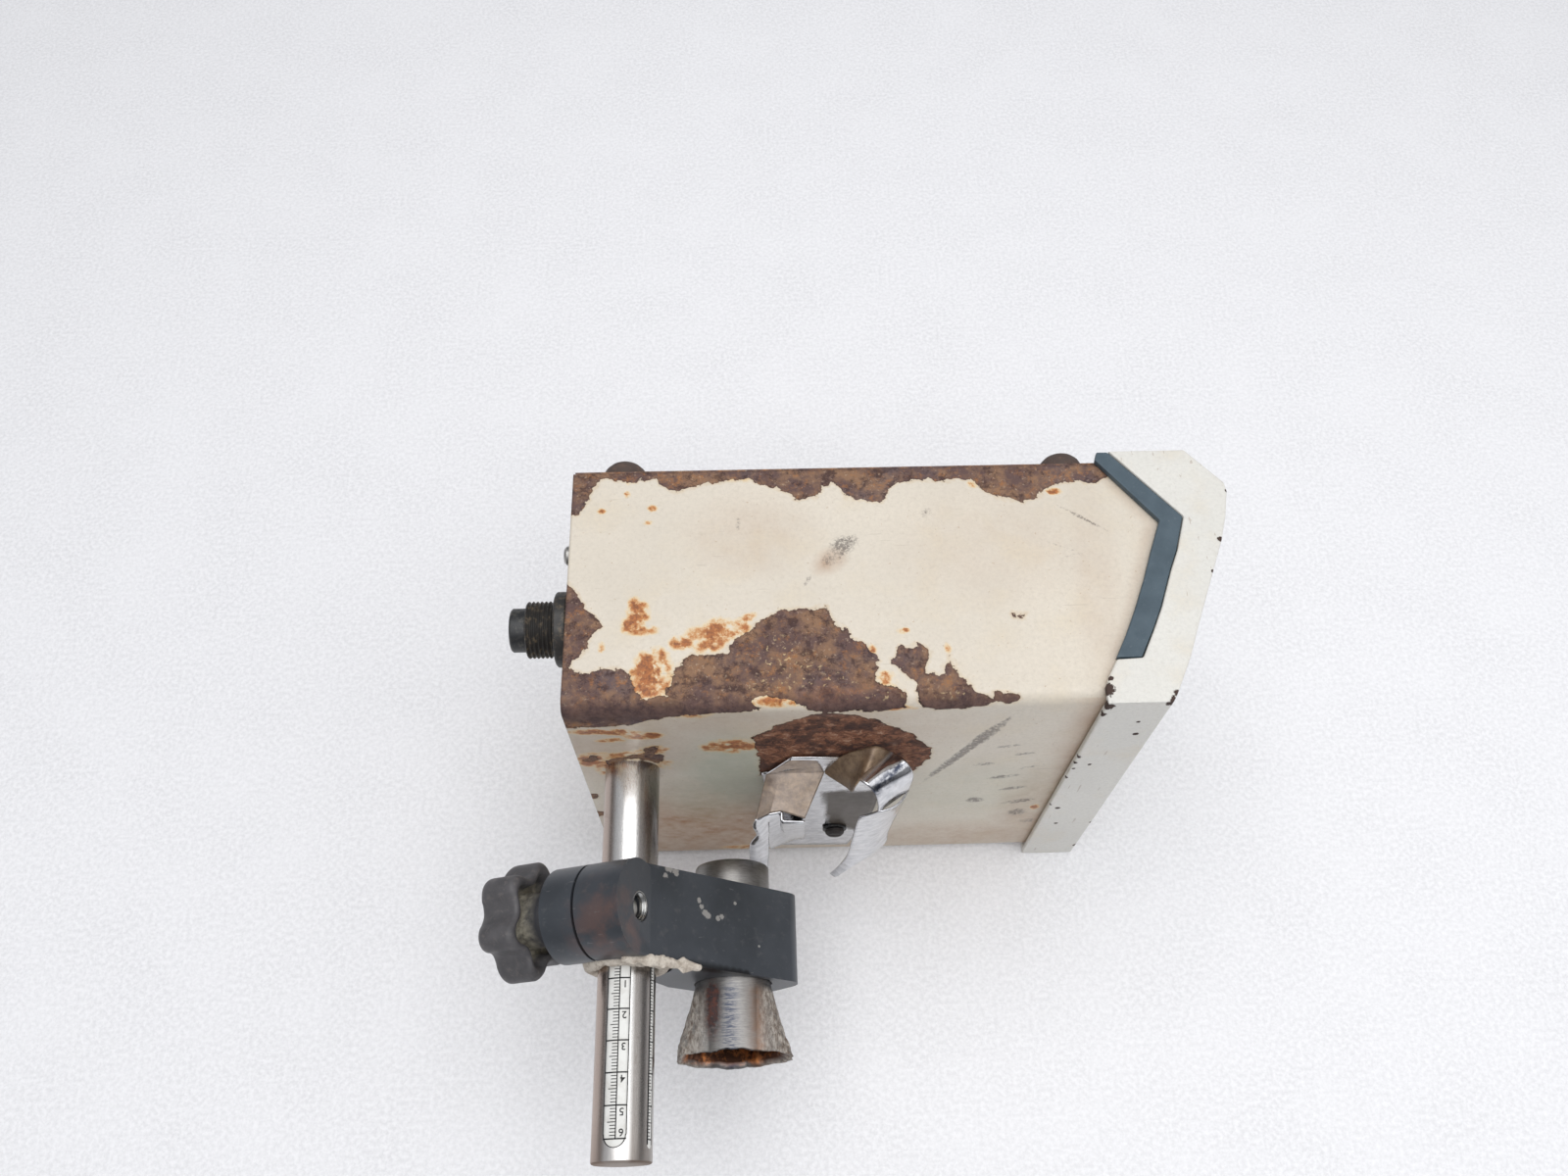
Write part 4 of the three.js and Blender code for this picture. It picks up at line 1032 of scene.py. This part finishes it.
def liner_ring():
    """The bush in the clamp, swollen and ragged where it comes out."""
    angles = circle(128)
    ragged = rough_noise(angles * 6, 0 * angles + 3, 1.6, 4) * 2 - 1
    inner, outer = ROD_R + 0.35, 11.4
    # Y, radius, ripple, lift
    profile = [(-40.2, inner, 0, 0), (-40.2, outer, 0, 0), (-64.0, outer, 0, 0), (-66.4, 11.5, 0, 0),
               (-66.5, 14.9, 0.2, 0), (-69.0, 15.0, 0.5, 0), (-71.2, 14.9, 1.0, 0.5), (-73.2, 14.0, 1.6, 1.0),
               (-73.9, 12.6, 1.2, 0.8), (-73.4, inner + 0.8, 0.2, 0.4), (-72.6, inner, 0, 0)]
    rings = [rod_ring(angles, y + lift * ragged, radius + ripple * ragged)
             for y, radius, ripple, lift in profile]
    return ring_stack(rings, closed=True)


def liner_crust():
    """The broken lip of the bush that lies along the clamp's lower edge."""
    s, t = np.meshgrid(np.linspace(0, 1, 14), np.linspace(0, 1, 60), indexing="ij")
    along = np.interp(t, [0, 0.5, 1], [-12.0, 3.0, 18.5])
    wave = rough_noise(along, s * 3, 3.0, 7) - 0.5
    fringe = rough_noise(along, 0 * along, 2.2, 9) - 0.5
    height = (3.4 + fringe * 5.5) * np.sin(np.clip(t, 0.02, 0.98) * math.pi) ** 0.5
    y = -72.9 + (s - 0.5) * height + wave * 0.6
    out = 16.7 + 0.9 * np.sin(s * math.pi) + wave * 1.4 - np.clip(-2 - along, 0, None) * 0.35
    x, z = arm_point(along, out)
    return thick_sheet(np.stack([x, y, z], -1), 1.5)


def build_liner():
    points, faces = joined([liner_ring(), liner_crust()])
    make_piece("crumbled_liner", points, faces, liner_material(), "arm", ("clamp_liner",))


# ---------------------------------------------------------------- star knob
KNOB_BASE, KNOB_THICK, KNOB_LOBES = -39.9, 15.2, 6
NECK_END = -18.2
STUD_BORE = 4.35


def knob_material():
    """Dusty plastic, darker on the neck, with pale dirt in the recess."""
    m = Surface("knob_plastic_dusty")
    colour = m.mottled((7, 4), 0.3, 0.7, srgb(70, 69, 71), srgb(90, 88, 90))
    colour = m.patches(colour, (2.2, 6, 0.7), 0.54, 0.76, 0.45, srgb(132, 124, 118))
    colour = m.mix(m.times(m.value("neck"), 0.7), colour, srgb(40, 42, 48))
    dirt = m.times(m.value("recess"), m.step(m.noise(3.5, 5, 0.7), 0.36, 0.54, 0.25, 1))
    dust = m.mottled((2, 4), 0.4, 0.6, srgb(142, 136, 122), srgb(178, 172, 154))
    colour = m.mix(dirt, colour, dust)
    m.bump(m.noise(0.7, 4, 0.6), 0.05)
    return m.finish(colour, m.step(m.noise(3, 4), 0.3, 0.7, 0.42, 0.62), specular=0.4)


def build_knob():
    angles = circle(180)
    wave = np.cos(KNOB_LOBES * angles)
    lobe = np.sign(wave) * np.abs(wave) ** 0.8
    inner_face = KNOB_BASE + KNOB_THICK
    # lift along the screw, radius, height of the lobes
    profile = [(KNOB_BASE + 1.6, STUD_BORE, 0), (KNOB_BASE + 1.6, 6, 0), (KNOB_BASE + 0.5, 8, 0.1),
               (KNOB_BASE, 10, 0.6)]
    for turn in np.linspace(0, math.pi / 2, 10):
        rise, reach = 1 - math.cos(turn), math.sin(turn)
        profile.append((KNOB_BASE + 4.6 * rise, 13.2 + 4.6 * reach, 1.2 + 1.5 * reach))
    for turn in np.linspace(0, math.pi / 2, 8):
        rise, reach = 1 - math.cos(turn), math.sin(turn)
        profile.append((inner_face - 2.2 * (1 - reach), 17.8 - 2.2 * rise, 2.7 - 0.5 * reach))
    recess_row = len(profile) + 1
    profile += [(inner_face - 0.5, 14.4, 1.9), (inner_face - 3.5, 13.4, 1.6), (inner_face - 5.6, 12.6, 1.2),
                (inner_face - 6.2, 9.9, 0), (inner_face - 3, 9.5, 0), (inner_face + 3, 9.3, 0),
                (NECK_END - 0.4, 9.1, 0), (NECK_END, 8.6, 0), (NECK_END, STUD_BORE, 0)]
    rings = [screw_ring(angles, lift, radius + height * lobe) for lift, radius, height in profile]
    points, faces = ring_stack(rings, closed=True)
    row = np.arange(len(points)) // len(angles)
    values = {"recess": np.interp(row - recess_row, [0, 1, 2, 3, 4], [0, 0.7, 1, 0.9, 0]),
              "neck": row > recess_row + 2}
    make_piece("star_knob", points, faces, knob_material(), "knob", ("clamp_knob",), values)


def build_threads():
    """Bright turns of thread in the clamp's tapped hole."""
    angles = circle(48)
    turns = []
    for k in range(8):
        crest = 4.2 if k < 5 else 5.05
        turns.append((11.2 + 0.36 * k, crest - 0.55 * (k % 2)))
    turns += [(13.7, 5.15), (12.95, 5.15), (12.6, 4.3), (11.2, 4.3)]
    rings = [screw_ring(angles, lift + 0.35 * np.cos(angles), radius) for lift, radius in turns]
    points, faces = ring_stack(rings, closed=True)
    bright = steel_material("cut_thread", srgb(176, 176, 174), 0.18, 0.30)
    make_piece("thread_turns", points, faces, bright, "arm")


# ---------------------------------------------------------------- spring tool clip
CLIP_T = 0.8
# X, Y, Z along each edge of the bent sheet
PLATE_LEFT = [(66.5, -1, 104), (67.5, -1, 90), (68.5, -1, 60), (69.5, -1, 34), (69.5, -1, 14)]
PLATE_RIGHT = [(104, -1, 118), (109, -1, 100), (112, -1, 70), (109, -1, 40), (103, -1, 12)]
RIM_FOOT = [(68.4, -0.9, 102.5), (75.5, -0.9, 104.5), (90.2, -0.9, 103.8), (99.7, -0.9, 106)]
RIM_TOP = [(68.2, -1.6, 104), (77.4, -1.4, 120.6), (84, -1.2, 120), (94.9, -1, 118)]
SHELF_BACK = [(68.3, -1, 103.2), (74.0, -1, 103.6), (80, -1, 103.8), (90.2, -1, 103.8)]
SHELF_FRONT = [(64.0, -19, 104), (69.3, -15.6, 101), (73.6, -15.2, 101), (82.1, -18.4, 101.5)]
LIP_TOP = [(64.0, -19, 104), (69.0, -16, 101), (73.6, -15.2, 100.8), (73.6, -18.6, 100), (82.1, -19, 100)]
LIP_LOW = [(68.7, -16, 66), (69.5, -12, 45), (73.5, -8, 36), (78, -4, 28), (84, -2, 24)]
ARM_OUTER = [(63.9, -19, 104), (62.9, -19.6, 98), (64.2, -19.6, 88), (61.6, -20.4, 79), (61.2, -21.5, 66),
             (61.8, -23, 52), (63.4, -25, 38), (66.6, -26, 28)]
ARM_INNER = [(68.8, -15, 101), (68.8, -16.4, 92), (68.8, -17.6, 84), (68.7, -18.6, 76), (68.6, -20, 66),
             (68.2, -21.6, 54), (67.6, -24, 40), (67.2, -25.8, 29)]
HOOD_BACK = [(90.4, -1, 104), (95, -1, 118.4), (102.5, -1, 126), (108, -1, 128.5), (112.8, -1.2, 123.5)]
HOOD_FRONT = [(90.2, -2, 104.4), (97.9, -9.4, 109.4), (98.9, -13.2, 115.2), (99.6, -14.2, 124),
              (101, -13, 127.4)]
HORN_NEAR = [(101, -13, 127.4), (103.9, -15.4, 127.6), (106.9, -17.6, 123.6), (108.2, -19.2, 117),
             (108.4, -20, 112.6)]
HORN_FAR = [(112.8, -1.2, 123.5), (115.6, -3.4, 125), (118.9, -6.4, 125), (121.0, -9.4, 120.6),
            (120.2, -11, 109.6)]
WING_INNER = [(108.4, -20, 112.6), (104.4, -20.2, 109.2), (102.0, -20.2, 107), (101.2, -20.2, 98),
              (100.6, -20.4, 80), (99.7, -20.6, 61), (97.2, -21.2, 50), (93.8, -22, 41)]
WING_OUTER = [(120.2, -11, 109.6), (119.4, -11.6, 102), (118.4, -12, 92), (117.2, -12.6, 82),
              (115.6, -13.6, 68), (114.6, -15.4, 58), (105, -19.4, 54), (95, -22, 42.5)]


# Each bent sheet: its two edges, points along them, rows across, bulge and its direction
CLIP_SHEETS = [
    (smooth_line(PLATE_LEFT, 40), smooth_line(PLATE_RIGHT, 40), 24),
    (straight_line(RIM_FOOT, 40), straight_line(RIM_TOP, 40), 6),
    (straight_line(SHELF_BACK, 40), straight_line(SHELF_FRONT, 40), 24),
    (straight_line(LIP_TOP, 50), smooth_line(LIP_LOW, 50), 16, 1.5),
    (smooth_line(ARM_OUTER, 60), smooth_line(ARM_INNER, 60), 12, 1.2, (-0.5, -1, 0)),
    (smooth_line(HOOD_BACK, 40), smooth_line(HOOD_FRONT, 40), 16),
    (smooth_line(HORN_NEAR, 30), smooth_line(HORN_FAR, 30), 30),
    (smooth_line(WING_INNER, 60), smooth_line(WING_OUTER, 60), 24, 2.4, (0.5, -0.8, 0.2)),
]
PLATE, RIM, SHELF, HOOD, HORN = 0, 1, 2, 5, 6


def clip_material():
    """Chrome with pitting, painted dark reflection streaks on the horn, painted brown reflection of the rusty
    face on its folds, and painted shade in one recess.
    """
    m = Surface("clip_chrome")
    streak = m.noise(2.2, 4, 0.6, m.stretched(0.5, 0.5, 0.9))
    colour = m.mix(m.step(streak, 0.35, 0.65), srgb(196, 197, 200), srgb(228, 228, 230))
    colour = m.patches(colour, (4, 6, 0.75), 0.56, 0.74, 0.5, srgb(150, 140, 130))
    # Painted reflection: dark streaks along the horn's rolled lip.
    dark = m.step(m.noise(2.0, 5, 0.7, m.stretched(0.5, 0.5, 0.5)), 0.36, 0.56)
    colour = m.mix(m.times(m.value("reflection_streak"), dark), colour, srgb(62, 68, 84))
    # Painted reflection: the brown where folds and the horn's lip mirror the rusty face.
    painted_rust_reflection = m.mottled((3, 5, 0.75), 0.40, 0.62, srgb(112, 92, 74), srgb(146, 124, 100))
    colour = m.mix(m.value("brown"), colour, painted_rust_reflection)
    colour = m.mix(m.value("shade"), colour, srgb(88, 80, 72))
    m.bump(m.noise(7, 3, 0.5), 0.16)
    dull = m.most(m.value("brown"), m.value("shade"))
    rough = m.plus(m.step(m.noise(4, 5, 0.7), 0.35, 0.75, 0.08, 0.22), m.times(dull, 0.24))
    return m.finish(colour, rough, m.math("SUBTRACT", 1.0, m.times(dull, 0.75)))


def build_clip():
    parts = [sheet_between(first, second, rows, CLIP_T, *bow) for first, second, rows, *bow in CLIP_SHEETS]
    kind = np.concatenate([np.full(len(points), k) for k, (points, _) in enumerate(parts)])
    points, faces = joined(parts)
    x, _, z = points.T
    # Painted reflection of the rusty face: brown on the shelf, hood, right end of the rim and the start of
    # the horn's lip.
    brown = np.where(kind == SHELF, 0.85, 0) + np.where(kind == HOOD, 1.0, 0)
    brown += np.where(kind == RIM, 0.6 * np.clip((x - 88) / 6, 0, 1), 0)
    horn = np.flatnonzero(kind == HORN)
    turn = (horn - horn[0]) % 30 / 29   # share of the way round the rolled lip
    brown[horn] = np.clip((0.16 - turn) / 0.1, 0, 1) * 0.9
    # Painted reflection: the dark streak round the middle of the horn's lip.
    reflection_streak = np.zeros(len(x))
    reflection_streak[horn] = np.exp(-((turn - 0.42) / 0.13) ** 2)
    # Painted shade on the plate in the recess under the horn.
    left_edge = 89.5 + (82 - z) * 0.09
    hollow = (np.clip(x - left_edge, 0, 1) * np.clip((83 - z) / 1.5, 0, 1)
              * np.clip((z - 31 - (105 - x) * 0.9) / 2, 0, 1))
    make_piece("spring_clip", points, faces, clip_material(), "clip", ("tool_clip",),
               {"brown": brown, "shade": np.where(kind == PLATE, hollow, 0), "reflection_streak": reflection_streak})


# ---------------------------------------------------------------- camera, light and floor
def floor_material():
    m = Surface("pale_floor")
    colour = m.mottled((40, 4), 0.3, 0.7, srgb(230, 230, 232), srgb(237, 237, 239))
    colour = m.mottled((1.8, 2, 0.6), 0.35, 0.65, colour, srgb(246, 246, 248))
    m.bump(m.noise(2.0, 3, 0.6), 0.45)
    return m.finish(colour, 0.7, specular=0.3)


def build_camera():
    scene = bpy.context.scene
    camera = bpy.data.objects.new("camera", bpy.data.cameras.new("camera"))
    scene.collection.objects.link(camera)
    camera.data.lens = 29.86
    camera.data.clip_start = 0.01
    camera.location = at(66.9, -169.0, 565.4)
    camera.rotation_euler = Euler([math.radians(a) for a in (28.08, -0.42, -1.57)], "XYZ")
    scene.camera = camera


def build_floor():
    mesh = bpy.data.meshes.new("floor")
    r = 14.0
    mesh.from_pydata([(-r, -r, 0), (r, -r, 0), (r, r, 0), (-r, r, 0)], [], [(0, 1, 2, 3)])
    floor = bpy.data.objects.new("floor", mesh)
    bpy.context.scene.collection.objects.link(floor)
    mesh.materials.append(floor_material())


def build_world():
    """A soft room: grey at the horizon, near white above."""
    world = bpy.data.worlds.new("soft_room")
    bpy.context.scene.world = world
    world.use_nodes = True
    tree = world.node_tree
    background = tree.nodes["Background"]
    place = tree.nodes.new("ShaderNodeTexCoord")
    split = tree.nodes.new("ShaderNodeSeparateXYZ")
    tree.links.new(place.outputs["Generated"], split.inputs[0])
    ramp = tree.nodes.new("ShaderNodeValToRGB")
    horizon, sky = ramp.color_ramp.elements
    horizon.position, horizon.color = 0.0, (0.20, 0.20, 0.21, 1)
    sky.position, sky.color = 0.75, (0.95, 0.96, 1.0, 1)
    tree.links.new(split.outputs["Z"], ramp.inputs[0])
    tree.links.new(ramp.outputs[0], background.inputs["Color"])
    background.inputs["Strength"].default_value = 0.56


def light_panel(name, place, aim, size, power):
    """A lit panel; place and aim in mm, size in metres."""
    light = bpy.data.objects.new(name, bpy.data.lights.new(name, "AREA"))
    light.data.energy = power
    light.data.shape = "RECTANGLE"
    light.data.size, light.data.size_y = size
    light.location = at(*place)
    light.rotation_euler = (at(*aim) - light.location).to_track_quat("-Z", "Y").to_euler()
    bpy.context.scene.collection.objects.link(light)


def build_stage():
    bpy.context.scene.view_settings.view_transform = "Standard"
    build_camera()
    build_floor()
    build_world()
    light_panel("ceiling_panel", (90, -120, 1500), (80, -20, 80), (1.25, 1.9), 16)
    light_panel("side_panel", (900, -200, 900), (80, 0, 80), (0.8, 0.8), 2)


build_stage()
build_cover()
dress_cad_nodes()
build_rod()
build_scales()
build_post()
build_liner()
build_knob()
build_threads()
build_clip()
